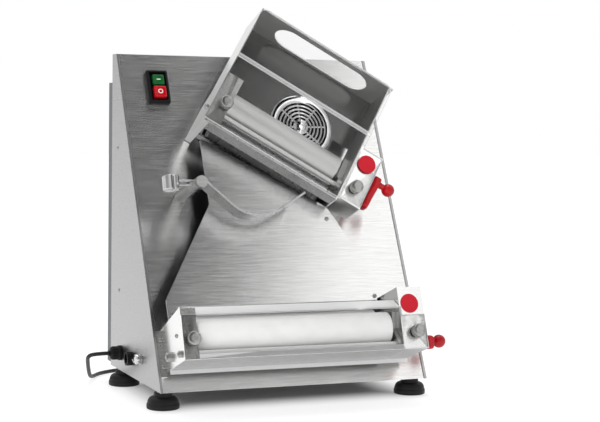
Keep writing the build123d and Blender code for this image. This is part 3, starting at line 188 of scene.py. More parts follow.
# polycarbonate: its surface, then the opacity of its haze, of its edges by their squareness, and of its rib; the
# pale edges and rib are a painted highlight
CLEAR_ROUGH, CLEAR_IOR, CLEAR_SHEEN = 0.05, 1.58, 0.08
CLEAR_HAZE = {"To Min": 0.01, "To Max": 0.03}
EDGE_HIGHLIGHT = {"From Min": 0.5, "From Max": 0.8, "To Min": 0.85, "To Max": 0.0}
RIB_HIGHLIGHT, RIB_EDGE = 0.3, 0.5 * MM
CLEAR_TINTS = [(0.05, "#303030"), (0.3, "#f0f0f0")]  # a dark tint square on, and a pale one at edges and rib


def linear(code):
    """An sRGB hex colour as linear RGBA."""
    part = np.array([int(code[i:i + 2], 16) / 255 for i in (1, 3, 5)])
    value = np.where(part <= 0.04045, part / 12.92, ((part + 0.055) / 1.055) ** 2.4)
    return (*value.tolist(), 1.0)


def grey(value):
    """A grey of one linear value."""
    return (value, value, value, 1.0)


def add(tree, kind, settings=None, sockets=None, links=None, stops=()):
    """One node with its settings, socket values and incoming links, and its colour ramp's stops if it has one."""
    made = tree.nodes.new(kind)
    for key, value in (settings or {}).items():
        setattr(made, key, value)
    for key, value in (sockets or {}).items():
        made.inputs[key].default_value = value
    for key, source in (links or {}).items():
        tree.links.new(source, made.inputs[key])
    for number, (position, colour) in enumerate(stops):
        held = made.color_ramp.elements
        stop = held[number] if number < len(held) else held.new(position)
        stop.position = position
        stop.color = colour
    return made


def new_material(name, sockets=None):
    """A new material with its Principled shader and Object coordinates."""
    made = bpy.data.materials.new(name)
    made.use_nodes = True
    shader = made.node_tree.nodes["Principled BSDF"]
    for key, value in (sockets or {}).items():
        shader.inputs[key].default_value = value
    place = add(made.node_tree, "ShaderNodeTexCoord").outputs["Object"]
    return made, made.node_tree, shader, place


def skin(tree, shader, clouds, grit, colours, rough, bump):
    """Clouds carry the colour and the roughness between their two values, and grit raises the surface."""
    ends = {"Base Color": [linear(code) for code in colours], "Roughness": [grey(value) for value in rough]}
    for socket, pair in ends.items():
        spread = add(tree, "ShaderNodeValToRGB", links={"Fac": clouds}, stops=zip(NOISE_SPAN, pair))
        tree.links.new(spread.outputs["Color"], shader.inputs[socket])
    relief = add(tree, "ShaderNodeBump", sockets={"Strength": bump, "Distance": RELIEF}, links={"Height": grit})
    tree.links.new(relief.outputs["Normal"], shader.inputs["Normal"])


def squareness(tree, way):
    """How squarely a face looks along a direction: its normal times that direction, 1 straight on and -1 away."""
    normal = add(tree, "ShaderNodeNewGeometry").outputs["Normal"]
    product = add(tree, "ShaderNodeVectorMath", {"operation": "DOT_PRODUCT"}, {1: tuple(way)}, {0: normal})
    return product.outputs["Value"]


def brushed_steel(name, colours, rough, grain_turn, grain_mm, bump, upright=tuple(UP)):
    """Metal sanded one way: a noise stretched into long fine streaks along x, after a turn by grain_turn.

    What it mirrors is smeared across the streaks, which is the upright direction, and stays sharper along them.
    """
    made, tree, shader, place = new_material(name, {"Metallic": 1.0, "Anisotropic": STREAK_SMEAR})
    smear = add(tree, "ShaderNodeVectorTransform",
                {"vector_type": "VECTOR", "convert_from": "OBJECT", "convert_to": "WORLD"}, {"Vector": upright})
    tree.links.new(smear.outputs["Vector"], shader.inputs["Tangent"])
    level = add(tree, "ShaderNodeMapping", sockets={"Rotation": grain_turn}, links={"Vector": place})
    fine = PER_METRE / grain_mm
    stretched = add(tree, "ShaderNodeMapping", sockets={"Scale": (fine / STREAK_RATIO, fine, fine)},
                    links={"Vector": level.outputs["Vector"]})
    grain = add(tree, "ShaderNodeTexNoise", sockets={"Scale": 1.0, "Detail": 4.0, "Roughness": 0.6},
                links={"Vector": stretched.outputs["Vector"]}).outputs["Fac"]
    skin(tree, shader, grain, grain, colours, rough, bump)
    return made


def moulded(name, colours, rough, grit_mm, bump, sockets=None):
    """An even colour with a faint mottle and a fine pebbled skin, each from a noise.

    It serves what is moulded, and what is painted, plated or blasted.
    """
    made, tree, shader, place = new_material(name, sockets)
    mottle = add(tree, "ShaderNodeTexNoise", sockets={"Scale": MOTTLES_PER_METRE, "Detail": 3.0},
                 links={"Vector": place})
    grit = add(tree, "ShaderNodeTexNoise", sockets={"Scale": PER_METRE / grit_mm, "Detail": 2.0},
               links={"Vector": place})
    skin(tree, shader, mottle.outputs["Fac"], grit.outputs["Fac"], colours, rough, bump)
    return made


def two_sided(name, out, colours, out_colours, rough):
    """Bent sheet speckled by a noise like zinc spangle: faces that look out have tones of their own.

    Rough gives the roughness of the rest, then of the faces that look out.
    """
    made, tree, shader, place = new_material(name, {"Metallic": 1.0})
    outward = add(tree, "ShaderNodeMapRange", sockets=LOOKS_OUT,
                  links={"Value": squareness(tree, out)}).outputs["Result"]
    speck = add(tree, "ShaderNodeTexNoise",
                sockets={"Scale": SPANGLES_PER_METRE, "Detail": 3.0, "Roughness": 0.7},
                links={"Vector": place}).outputs["Fac"]
    rest, faces_out = (
        add(tree, "ShaderNodeValToRGB", links={"Fac": speck}, stops=zip(span, map(linear, pair))).outputs["Color"]
        for span, pair in ((NOISE_SPAN, colours), (SPANGLE_SPAN, out_colours)))
    both = add(tree, "ShaderNodeMix", {"data_type": "RGBA"}, links={"Factor": outward, "A": rest, "B": faces_out})
    tree.links.new(both.outputs["Result"], shader.inputs["Base Color"])
    gloss = add(tree, "ShaderNodeMapRange", sockets={"To Min": rough[0], "To Max": rough[1]},
                links={"Value": outward})
    tree.links.new(gloss.outputs["Result"], shader.inputs["Roughness"])
    return made


def sheet_with_back(name, out, front_finish, back_colour, back_rough):
    """A copy of a finish whose faces that look back, away from out, have one dull colour."""
    made = front_finish.copy()
    made.name = name
    tree = made.node_tree
    shader = tree.nodes["Principled BSDF"]
    back = add(tree, "ShaderNodeMath", {"operation": "LESS_THAN"}, {1: LOOKS_BACK}, {0: squareness(tree, out)})
    for socket, value in (("Base Color", linear(back_colour)), ("Roughness", grey(back_rough))):
        look = shader.inputs[socket].links[0].from_socket
        both = add(tree, "ShaderNodeMix", {"data_type": "RGBA"}, {"B": value},
                   {"Factor": back.outputs["Value"], "A": look})
        tree.links.new(both.outputs["Result"], shader.inputs[socket])
    return made


def clear_sheet(name, out, rib):
    """Clear sheet whose opacity adds up a sheen at a glance, a faint haze, and a painted highlight, pale, on its
    edges and rib.

    Faces above rib, a height along out in metres, belong to the stiffening rib.
    """
    made, tree, shader, place = new_material(name, {"Roughness": CLEAR_ROUGH, "IOR": CLEAR_IOR})
    made.surface_render_method = "BLENDED"
    sheen = add(tree, "ShaderNodeLayerWeight", sockets={"Blend": CLEAR_SHEEN})
    # a face that doesn't look along the sheet's own direction is one of its edges
    square = add(tree, "ShaderNodeMath", {"operation": "ABSOLUTE"}, links={0: squareness(tree, out)})
    edge = add(tree, "ShaderNodeMapRange", sockets=EDGE_HIGHLIGHT, links={"Value": square.outputs["Value"]})
    height = add(tree, "ShaderNodeVectorMath", {"operation": "DOT_PRODUCT"}, {1: tuple(out)}, {0: place})
    raised = add(tree, "ShaderNodeMapRange",
                 sockets={"From Min": rib, "From Max": rib + RIB_EDGE, "To Max": RIB_HIGHLIGHT},
                 links={"Value": height.outputs["Value"]})
    pale = add(tree, "ShaderNodeMath", {"operation": "MAXIMUM"},
               links={0: edge.outputs["Result"], 1: raised.outputs["Result"]})
    haze = add(tree, "ShaderNodeTexNoise", sockets={"Scale": HAZES_PER_METRE, "Detail": 2.0},
               links={"Vector": place})
    film = add(tree, "ShaderNodeMapRange", sockets=CLEAR_HAZE, links={"Value": haze.outputs["Fac"]})
    face = add(tree, "ShaderNodeMath", {"operation": "ADD"},
               links={0: sheen.outputs["Facing"], 1: film.outputs["Result"]})
    whole = add(tree, "ShaderNodeMath", {"operation": "ADD", "use_clamp": True},
                links={0: face.outputs["Value"], 1: pale.outputs["Value"]})
    tree.links.new(whole.outputs["Value"], shader.inputs["Alpha"])
    tint = add(tree, "ShaderNodeValToRGB", links={"Fac": pale.outputs["Value"]},
               stops=[(position, linear(code)) for position, code in CLEAR_TINTS])
    tree.links.new(tint.outputs["Color"], shader.inputs["Base Color"])
    return made


LEVEL = (0.0, 0.0, 0.0)
ALONG_DEPTH = (0.0, 0.0, QUARTER)
ALONG_SLOPE = tuple(Matrix(upper.rows.tolist()).to_euler())
UP_SLOPE = tuple(upper.rows[1])
METAL = {"Metallic": 1.0}
UPPER_RIB, LOWER_RIB = 80.4, 90.0  # how far out of each unit's back its guard's rib begins

# Real sanding streaks are a few tenths of a millimetre wide, and the grit of moulded, painted and plated skins is
# finer. Both are drawn 0.7 to 2 mm wide, so that they show.

# cold-rolled stainless sanded across: level streaks, and mirrored things blurred up and down
PANEL = brushed_steel("stainless_panel_sanded_across", ("#c8c8c7", "#e4e4e3"), (0.22, 0.27), LEVEL, 0.9, 0.12)
# the same steel sanded front to back: a flat, darker grey
SIDE = brushed_steel("stainless_side_sanded_along", ("#a2a2a2", "#acacac"), (0.26, 0.34), ALONG_DEPTH, 1.2, 0.15)
# folded sheet sanded finer: brighter, with soft streaks
FOLDED = brushed_steel("stainless_unit_fine_sanded", ("#e2e2e1", "#eaeae9"), (0.2, 0.28), LEVEL, 1.0, 0.15)
# the same sheet on the sloping unit: streaks along the slope, and a softer shine
SLOPED = brushed_steel("stainless_hopper_fine_sanded", ("#f0f0ef", "#f8f8f7"), (0.4, 0.5), ALONG_SLOPE, 1.0, 0.15,
                       UP_SLOPE)
# the upper gear cover's front: painted light, the palest grey of all, for the soft box it mirrors
LIT_COVER_FRONT = brushed_steel("stainless_hopper_cover_painted_light", ("#f4f4f3", "#fbfbfa"), (0.2, 0.28), LEVEL, 1.0, 0.15)
# hopper back: sanded sheet whose dark grey is painted shade from inside the hopper; it still mirrors what stands
# before it
HOPPER_BACK = brushed_steel("stainless_back_sanded_painted_shade", ("#525251", "#666665"), (0.2, 0.26), ALONG_SLOPE, 1.4, 0.2,
                            UP_SLOPE)
# roller ground between centres: a fine even grey with one soft band of light
ROLLER = brushed_steel("steel_roller_ground", ("#d6d6d4", "#e0e0de"), (0.36, 0.42), ALONG_SLOPE, 1.4, 0.05,
                       UP_SLOPE)
# ground cross shaft: bright, with the light spread along its length
SHAFT = brushed_steel("steel_shaft_ground_bright", ("#f0f0ef", "#f8f8f7"), (0.45, 0.55), LEVEL, 1.0, 0.1)
# turned and milled steel: a plain grey with faint tool marks
MACHINED = brushed_steel("steel_machined", ("#a2a2a0", "#b8b8b6"), (0.28, 0.40), LEVEL, 1.0, 0.2)
# sintered bronze: a dull brown yellow
BRONZE = brushed_steel("sintered_bronze", ("#8a6a3c", "#a98450"), (0.35, 0.5), LEVEL, 1.0, 0.3)
# satin strip: an even mid grey without streaks
STRIP = moulded("stainless_satin_strip", ("#aeaeae", "#bcbcbc"), (0.24, 0.32), 2.0, 0.01, METAL)
# blasted stainless: an even pale satin
BLASTED = moulded("stainless_satin_blasted", ("#eaeae9", "#f2f2f1"), (0.5, 0.6), 2.0, 0.01, METAL)
# cheek: a bright side and a speckled, dull front flange
CHEEK = two_sided("stainless_cheek_dull_flange", lower.rows[2], ("#e6e6e5", "#f0f0ef"), ("#8c8c8a", "#b4b4b2"),
                  (0.2, 0.45))
# the upper cheek: paler, with painted shade, a dark grey, on faces that look back at the front panel
SLOPED_CHEEK = two_sided("stainless_hopper_cheek_dull_flange", upper.rows[2], ("#f0f0ef", "#f8f8f7"),
                         ("#c0c0be", "#dcdcda"), (0.35, 0.45))
SLOPED_CHEEK = sheet_with_back("stainless_hopper_cheek_shaded_back", upper.rows[2], SLOPED_CHEEK, BACK_SHADE_GREY,
                               BACK_SHADE_ROUGH)
# bottom plate: painted shade, a darker grey, underneath, and painted light, a near white, on its top and front
# faces
LIP = two_sided("stainless_lip_painted_light_and_shade", -lower.rows[1], ("#f4f4f4", "#fafafa"), ("#9a9a9a", "#aaaaaa"),
                (0.45, 0.26))
# gear covers: bright in front, with a darker, rougher grey on the right end, and painted shade, a duller grey,
# under the lower one
COVER = sheet_with_back("stainless_cover_shaded_under", lower.rows[1], FOLDED, "#b8b8b8", 0.4)
COVER = sheet_with_back("stainless_cover_dull_end", -lower.rows[0], COVER, END_GREY, END_ROUGH)
SLOPED_COVER = sheet_with_back("stainless_hopper_cover_dull_end", -upper.rows[0], LIT_COVER_FRONT, END_GREY, END_ROUGH)
# rails and chute: bright in front, with painted shade, a dark grey, on the faces behind
RAIL = sheet_with_back("stainless_rail_shaded_back", upper.rows[2], STRIP, BACK_SHADE_GREY, BACK_SHADE_ROUGH)
CHUTE = sheet_with_back("stainless_chute_shaded_back", front.rows[2], PANEL, BACK_SHADE_GREY, BACK_SHADE_ROUGH)
# zinc plate: an even grey shine with a faint tooth
ZINC = moulded("zinc_plate_bright", ("#9a9a98", "#b4b4b2"), (0.24, 0.34), 1.6, 0.05, METAL)
# polished chrome: a clear mirror of light and dark
CHROME = moulded("chrome_plate_polished", ("#cacaca", "#d8d8d8"), (0.06, 0.1), 2.0, 0.02, METAL)
# powder coat: a flat dark colour with a fine orange-peel skin
REAR_PAINT = moulded("powder_coat_dark_grey", ("#54575a", "#5d6063"), (0.42, 0.52), 1.2, 0.2)
MOTOR_PAINT = moulded("powder_coat_motor_grey", ("#3c3f42", "#46494c"), (0.45, 0.55), 1.2, 0.2)
# moulded rubber: near black, with hardly a shine
RUBBER = moulded("rubber_black_moulded", ("#0c0c0c", "#121212"), (0.45, 0.6), 0.8, 0.2,
                 {"Specular IOR Level": 0.3})
# textured ABS: near black, with a weak shine broken up by its grain
BLACK = moulded("abs_black_textured", ("#0a0a0b", "#101011"), (0.35, 0.5), 0.7, 0.2, {"Specular IOR Level": 0.2})
# PVC sheath: black, with a soft line of light along the cord
PVC = moulded("pvc_cord_black", ("#0e0e0e", "#151515"), (0.36, 0.46), 1.0, 0.1)
# smooth ABS: a deep green and a strong red, each with a soft highlight
GREEN = moulded("abs_green_button", ("#064f20", "#085c28"), (0.25, 0.35), 1.5, 0.05, {"Specular IOR Level": 0.35})
RED = moulded("abs_red_gloss", ("#a80814", "#b20c1a"), (0.2, 0.28), 2.0, 0.04, {"Specular IOR Level": 0.35})
# vinyl film: a flat, even red
RED_FILM = moulded("vinyl_red_film", ("#b80f22", "#c01428"), (0.4, 0.5), 1.0, 0.03, {"Specular IOR Level": 0.3})
# turned POM: clean white with a soft sheen
WHITE = moulded("pom_white_turned", ("#f2f2f1", "#f8f8f7"), (0.3, 0.4), 1.5, 0.04)
# printed ink: a flat white
SIGN = moulded("ink_white_printed", ("#e4e6e4", "#ececea"), (0.4, 0.5), 1.0, 0.02)
# polycarbonate: clear square on, a sheen at a glance, and a painted highlight on its edges and rib
UPPER_CLEAR = clear_sheet("polycarbonate_clear_upper", upper.rows[2],
                          float(upper.at((0, 0, UPPER_RIB)) @ upper.rows[2]))
LOWER_CLEAR = clear_sheet("polycarbonate_clear_lower", lower.rows[2],
                          float(lower.at((0, 0, LOWER_RIB)) @ lower.rows[2]))

WORN_BY = [
    (PANEL, ["front_panel", "top_panel", "base_plate", "chute_posts"]),
    (CHUTE, ["chute_plate"]),
    (SIDE, ["left_side_panel", "right_side_panel"]),
    (CHEEK, ["lower_left_cheek"]),
    (SLOPED_CHEEK, ["upper_left_cheek"]),
    (FOLDED, ["lower_right_plate", "lower_scraper"]),
    (COVER, ["lower_gear_cover"]),
    (LIP, ["lower_bottom_plate"]),
    (STRIP, ["balance_arm"]),
    (RAIL, ["upper_scrapers"]),
    (BLASTED, ["hopper_top"]),
    (SLOPED, ["upper_right_plate"]),
    (SLOPED_COVER, ["upper_gear_cover"]),
    (HOPPER_BACK, ["upper_back_plate", "upper_standoffs"]),
    (ROLLER, ["upper_front_roller", "upper_rear_roller"]),
    (SHAFT, ["lower_gap_shaft", "upper_gap_shaft"]),
    (MACHINED, ["balance_pin", "foot_studs", "upper_bearing_blocks", "lower_bearing_blocks", "upper_front_gear",
                "upper_rear_gear", "upper_pinion", "lower_front_gear", "lower_rear_gear", "lower_pinion"]),
    (CHROME, ["thumb_screws", "socket_cap", "fan_grille", "counterweight"]),
    (BRONZE, ["roller_bushes"]),
    (REAR_PAINT, ["rear_cover"]),
    (MOTOR_PAINT, ["gearmotors"]),
    (RUBBER, ["rubber_feet"]),
    (BLACK, ["switch_frame", "cord_gland", "pedal_socket", "plug", "coil_tie"]),
    (GREEN, ["start_button"]),
    (RED, ["stop_button", "upper_gap_lever", "lower_gap_lever"]),
    (RED_FILM, ["red_discs"]),
    (WHITE, ["lower_front_roller", "lower_rear_roller"]),
    (UPPER_CLEAR, ["upper_guard"]),
    (LOWER_CLEAR, ["lower_guard"]),
    (PVC, ["cord_stretch", "cord_coil"]),
]


def dress(thing, material):
    """Give an object one material."""
    thing.data.materials.clear()
    thing.data.materials.append(material)


for material, names in WORN_BY:
    for name in names:
        dress(nodes[name], material)
dress(cord, PVC)


# Shapes as grids of points

MERGE_WITHIN, FLAT_UNDER = 2e-6, 1e-7  # metres: nearer points become one, thinner faces go
SHARP_EDGE = 38.0                      # degrees
HOOP_POWER = 2 / 2.6
BAR_POWER, BAR_SECTION, BAR_ROWS, BAR_END = 0.75, 12, 6, 0.9
BEAD_ROWS, BEAD_STEPS = 7, 10


def quads(shape, start):
    """Corners of the four-sided faces of a rows by columns grid whose columns close round."""
    rows, columns = shape[:2]
    index = np.arange(rows * columns).reshape(rows, columns) + start
    beside = np.roll(index, -1, axis=1)
    return np.stack([index[:-1], index[1:], beside[1:], beside[:-1]], axis=-1).reshape(-1, 4)


def piece(name, grids, body, material, replaced=(), sharp=SHARP_EDGE):
    """One object from grids of points: seams and poles merged, faces outwards, smooth between sharp edges."""
    starts = np.cumsum([0] + [grid.shape[0] * grid.shape[1] for grid in grids[:-1]])
    points = np.concatenate([grid.reshape(-1, 3) for grid in grids])
    faces = np.concatenate([quads(grid.shape, start) for grid, start in zip(grids, starts)])
    mesh = bpy.data.meshes.new(name)
    mesh.from_pydata(points.tolist(), [], faces.tolist())
    work = bmesh.new()
    work.from_mesh(mesh)
    bmesh.ops.remove_doubles(work, verts=work.verts, dist=MERGE_WITHIN)
    bmesh.ops.dissolve_degenerate(work, edges=work.edges, dist=FLAT_UNDER)
    bmesh.ops.recalc_face_normals(work, faces=work.faces)
    work.to_mesh(mesh)
    work.free()
    mesh.polygons.foreach_set("use_smooth", np.ones(len(mesh.polygons), bool))
    mesh.set_sharp_from_angle(angle=math.radians(sharp))
    made = bpy.data.objects.new(name, mesh)
    scene.collection.objects.link(made)
    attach(made, body)
    if replaced:
        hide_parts(*replaced)
    dress(made, material)


def turned(profile, steps=48, swell=None):
    """Surface of revolution about z: each (height, radius) carried round, its radius times swell(row, angle)."""
    profile = np.asarray(profile, float)
    angle = np.arange(steps) / steps * TURN
    radius = np.repeat(profile[:, 1:], steps, axis=1)
    if swell is not None:
        radius = radius * swell(np.arange(len(profile))[:, None], angle[None])
    height = np.broadcast_to(profile[:, :1], radius.shape)
    return np.stack([radius * np.cos(angle), radius * np.sin(angle), height], axis=-1)


def within(row, rows, factor):
    """A radius factor in a profile's rows from the first of rows to the last, and 1 in the others."""
    return np.where((row >= rows[0]) & (row <= rows[1]), factor, 1.0)


def lay(points, axis, place):
    """A shape about z, laid along x or against it, and moved to a place."""
    laid = {"+x": points[..., [2, 0, 1]], "-x": points[..., [2, 1, 0]] * np.array([-1.0, 1.0, 1.0])}
    return laid[axis] + np.asarray(place, float)


def superellipse(count, power, closed=False):
    """Rounded square of half-width 1: cosine and sine, each raised to a power with its sign kept.

    A closed one has its first point again at its end.
    """
    t = np.arange(count + closed) / count * TURN
    return [np.sign(wave) * np.abs(wave) ** power for wave in (np.cos(t), np.sin(t))]


def hoop(radius, half_width, height, steps=96, section=16):
    """Round ring about z: a superellipse section, half_width by height over the base, carried round the circle."""
    across, up = superellipse(section, HOOP_POWER, closed=True)
    angle = np.arange(steps) / steps * TURN
    reach = np.repeat(radius + across[:, None] * half_width, steps, axis=1)
    rise = np.broadcast_to(up[:, None] * height / 2 + height / 2, reach.shape)
    return np.stack([reach * np.cos(angle), reach * np.sin(angle), rise], axis=-1)


def bar(start, stop, half_width, height):
    """Straight bar on the plane z = 0: a superellipse section that shrinks to a point at both rounded ends."""
    start, stop = np.asarray(start, float), np.asarray(stop, float)
    along = (stop - start) / np.linalg.norm(stop - start)
    side = np.array([-along[1], along[0], 0.0])
    s = np.concatenate([[0.0, 0.0], np.linspace(0.0, 1.0, BAR_ROWS), [1.0, 1.0]])
    size = np.concatenate([[0.0, BAR_END], np.ones(BAR_ROWS), [BAR_END, 0.0]])
    across, up = superellipse(BAR_SECTION, BAR_POWER)
    middle = start + s[:, None] * (stop - start)
    offset = across[:, None] * half_width * side + up[:, None] * height / 2 * UP
    return middle[:, None] + size[:, None, None] * offset[None] + height / 2 * UP


def bead(radius, centre):
    """Sphere: half a circle of points carried round."""
    t = np.linspace(0.0, math.pi, BEAD_ROWS)
    half_circle = np.stack([-np.cos(t) * radius, np.sin(t) * radius], axis=1)
    return turned(half_circle, BEAD_STEPS) + np.asarray(centre, float)


# Rubber feet: an upright rim, a rounded bell and a collar under the nut

BELL_BASE, BELL_RISE = 9.0, 9.6
BELL_NECK, BELL_SWELL, BELL_SHARE = 15.4, 8.4, 0.96
FOOT_X, FOOT_Y = 206.0, 107.0
bell = np.linspace(0.0, 1.0, 9)
bell_radius = BELL_NECK + BELL_SWELL * np.sqrt(1 - BELL_SHARE * bell ** 2)  # most of a quarter ellipse
foot_profile = np.concatenate([
    [(0.0, 0.0), (0.0, 23.0), (0.5, 24.2), (1.6, 25.0), (7.0, 25.0), (8.0, 24.6), (8.6, 23.8)],
    np.stack([BELL_BASE + BELL_RISE * bell, bell_radius], axis=1),
    [(18.9, 14.4), (19.8, 14.0), (24.2, 14.0), (25.0, 13.3), (25.0, 0.0)]])
foot = turned(foot_profile, steps=64)
feet = [bench.at(foot + np.array([x, y, 0.0])) for x in (-FOOT_X, FOOT_X) for y in (-FOOT_Y, FOOT_Y)]
piece("rubber_feet_moulded", feet, "body", RUBBER, ["rubber_feet"])


# Thumb screws: straight-knurled heads with turned-down ends and a dished face, on plain stems

KNURLS, KNURL_STEPS = 40, 4
KNURL_ROWS, KNURL_DEPTH = (6, 7), 0.055
thumb_profile = [(-12.0, 0.0), (-12.0, 3.0), (0.0, 3.0), (0.0, 8.6), (0.3, 9.6), (1.3, 10.2), (2.0, 10.5),
                 (10.0, 10.5), (10.7, 10.2), (11.6, 9.6), (12.0, 8.9), (12.0, 5.2), (11.7, 4.8), (11.7, 0.0)]
thumb_places = [(upper, (-119, -47, 80)), (upper, (126, -55, 80)), (lower, (-194, -7, 72)),
                (lower, (166, -10, 72))]


def knurl(row, angle):
    """Radius factor: V grooves round the head, cut only in the rows of its cylinder."""
    tooth = np.abs((angle * KNURLS / TURN) % 1.0 - 0.5) * 2
    return within(row, KNURL_ROWS, 1.0 - KNURL_DEPTH * tooth)


thumb = turned(thumb_profile, KNURLS * KNURL_STEPS, knurl)
piece("thumb_screws_knurled", [face.at(thumb + np.array(place, float)) for face, place in thumb_places], "body",
      ZINC, ["thumb_screws"], sharp=30.0)


# Gap levers: a flat arm that thickens to a paddle, a waisted neck and a ball

ARM_FROM, ARM_TO = -11.0, 48.0
ARM_ROWS, ARM_SECTION, ARM_POWER, ARM_CLOSE = 33, 28, 0.5, 9
NECK_AT, NECK_FROM, NECK_RADIUS = 40.0, 7.0, 4.6
FLARE, FLARE_TO, FLARE_LENGTH, FLARE_LIMIT = 2.6, 12.0, 3.0, 1.2
KNOB_RADIUS = 10.5
# unit, its face, the lever's place on it, its turn in degrees, and how far out the ball's middle is
LEVERS = [("upper", upper, (149.0, -59.0, 62.0), 0.0, 32.0), ("lower", lower, (185.0, -24.5, 55.5), -78.0, 45.0)]


def lever_arm():
    """Arm along y: superellipse sections whose width and thickness change along it and close round at its ends."""
    s = (1 - np.cos(np.linspace(0.0, math.pi, ARM_ROWS))) / 2
    y = ARM_FROM + (ARM_TO - ARM_FROM) * s
    close = np.clip(1 - np.abs(2 * s - 1) ** ARM_CLOSE, 0.0, 1.0) ** (1 / ARM_CLOSE)
    half_width = np.interp(y, [-11, 0, 14, 30, 48], [10.6, 11.0, 9.0, 9.6, 10.4]) * close
    thickness = np.interp(y, [-11, 6, 25, 48], [12.0, 12.5, 14.0, 15.0])
    across, through = superellipse(ARM_SECTION, ARM_POWER)
    x = thickness[:, None] / 2 * (1 + through[None] * close[:, None])
    return np.stack([x, np.broadcast_to(y[:, None], x.shape), half_width[:, None] * across[None]], axis=-1)


def lever_knob(out):
    """Neck and ball about x: the larger of a neck that narrows away from the arm and a sphere."""
    round_ball = out - KNOB_RADIUS * np.cos(np.linspace(0.0, math.pi, 24))
    x = np.concatenate([[NECK_FROM], np.linspace(NECK_FROM, out - KNOB_RADIUS, 12), round_ball[1:]])
    flare = FLARE * np.exp((FLARE_TO - x) / FLARE_LENGTH).clip(0.0, FLARE_LIMIT)
    neck = np.where(x < out, NECK_RADIUS + flare, 0.0)
    sphere = np.sqrt(np.clip(KNOB_RADIUS ** 2 - (x - out) ** 2, 0.0, None))
    radius = np.maximum(neck, sphere)
    radius[0] = 0.0
    return lay(turned(np.stack([x, radius], axis=1), steps=36), "+x", (0.0, NECK_AT, 0.0))


for unit, face, place, angle, out in LEVERS:
    c, s = math.cos(math.radians(angle)), math.sin(math.radians(angle))
    swing = np.array([[1.0, 0.0, 0.0], [0.0, c, s], [0.0, -s, c]])
    grids = [face.at(shape @ swing + np.array(place)) for shape in (lever_arm(), lever_knob(out))]
    piece(f"{unit}_gap_lever_moulded", grids, f"{unit}_gap_lever", RED, [f"{unit}_gap_lever"])


# Vent grille: round-edged rings on eight spokes, a domed hub, and a black duct behind

GRILLE_PLACE = np.array([17.0, 28.0, 2.0])
HUB_RADIUS, HUB_TALL = 13.0, 2.4
DOME_RADIUS, DOME_TAPER, DOME_RISE = 12.6, 8.6, 2.2
RIM_RADIUS, RIM_HALF_WIDTH, RIM_TALL = 47.5, 6.5, 4.0
RINGS, RING_PITCH, RING_HALF_WIDTH, RING_TALL = 4, 28.0 / 4.5, 1.6, 3.4
FIRST_RING = 0.75  # pitches from the hub to the first ring
SPOKES, SPOKE_FROM, SPOKE_TO, SPOKE_HALF_WIDTH, SPOKE_TALL = 8, 12.0, 42.0, 1.5, 2.4
spoke_ways = QUARTER + UPPER_ROLL + np.arange(SPOKES) / SPOKES * TURN
spoke_ends = np.stack([np.cos(spoke_ways), np.sin(spoke_ways), np.zeros(SPOKES)], axis=1)
rise = np.linspace(0.0, 1.0, 7)
hub_dome = np.stack([HUB_TALL + DOME_RISE * np.sin(rise * QUARTER), DOME_RADIUS - DOME_TAPER * rise], axis=1)
hub_profile = np.concatenate([[(0.0, 0.0), (0.0, HUB_RADIUS), (HUB_TALL, HUB_RADIUS)], hub_dome[1:],
                              [(3.6, 3.2), (3.6, 0.0)]])
grille = [hoop(RIM_RADIUS, RIM_HALF_WIDTH, RIM_TALL, steps=128)]
grille += [hoop(HUB_RADIUS + RING_PITCH * (i + FIRST_RING), RING_HALF_WIDTH, RING_TALL) for i in range(RINGS)]
grille += [turned(hub_profile, steps=64)]
grille += [bar(SPOKE_FROM * end, SPOKE_TO * end, SPOKE_HALF_WIDTH, SPOKE_TALL) for end in spoke_ends]
piece("fan_grille_rounded", [upper.at(shape + GRILLE_PLACE) for shape in grille], "body", CHROME,
      ["fan_grille"])
duct = turned([(-12.5, 0.0), (-12.5, 44.0), (-2.3, 44.0), (-2.3, 41.0), (-11.5, 41.0), (-11.5, 0.0)], steps=64)
piece("fan_duct", [upper.at(duct + GRILLE_PLACE)], "body", BLACK)


# Cord gland with a ribbed nut, and the socket's cap on a bead chain

GLAND_PLACE, GLAND_RIBS, RIB_ROWS, RIB_DEPTH = (-220.0, 81.0, 57.0), 14, (8, 9), 0.05
GLAND_NUT_TO, GLAND_DOME, GLAND_HOLE, GLAND_WALL = 13.0, 5.0, 4.6, 6.2
CAP_PLACE = (-220.0, -37.0, 64.5)
CHAIN_FROM, CHAIN_TO = np.array([-221.5, 5.7, 57.4]), np.array([-221.5, -29.6, 64.5])
CHAIN_SAG, BEADS, BEAD_RADIUS = 6.0, 18, 1.15
# the nut ends in a quarter of an ellipse
bend = np.linspace(0.0, 1.0, 8) * QUARTER
gland_end = np.stack([GLAND_NUT_TO + GLAND_DOME * np.sin(bend), GLAND_HOLE + GLAND_WALL * np.cos(bend)], axis=1)
gland_profile = np.concatenate([
    [(-13.0, 0.0), (-13.0, 7.0), (0.0, 7.0), (0.0, 11.4), (0.5, 12.0), (3.6, 12.0), (4.2, 11.4), (5.0, 11.0),
     (5.4, 10.8), (GLAND_NUT_TO, 10.8)], gland_end[1:], [(20.0, 4.5), (20.0, 0.0)]])


def ribs(row, angle):
    """Radius factor: shallow grip ribs round the gland's nut."""
    return within(row, RIB_ROWS, 1.0 - RIB_DEPTH * (np.cos(angle * GLAND_RIBS) > 0))


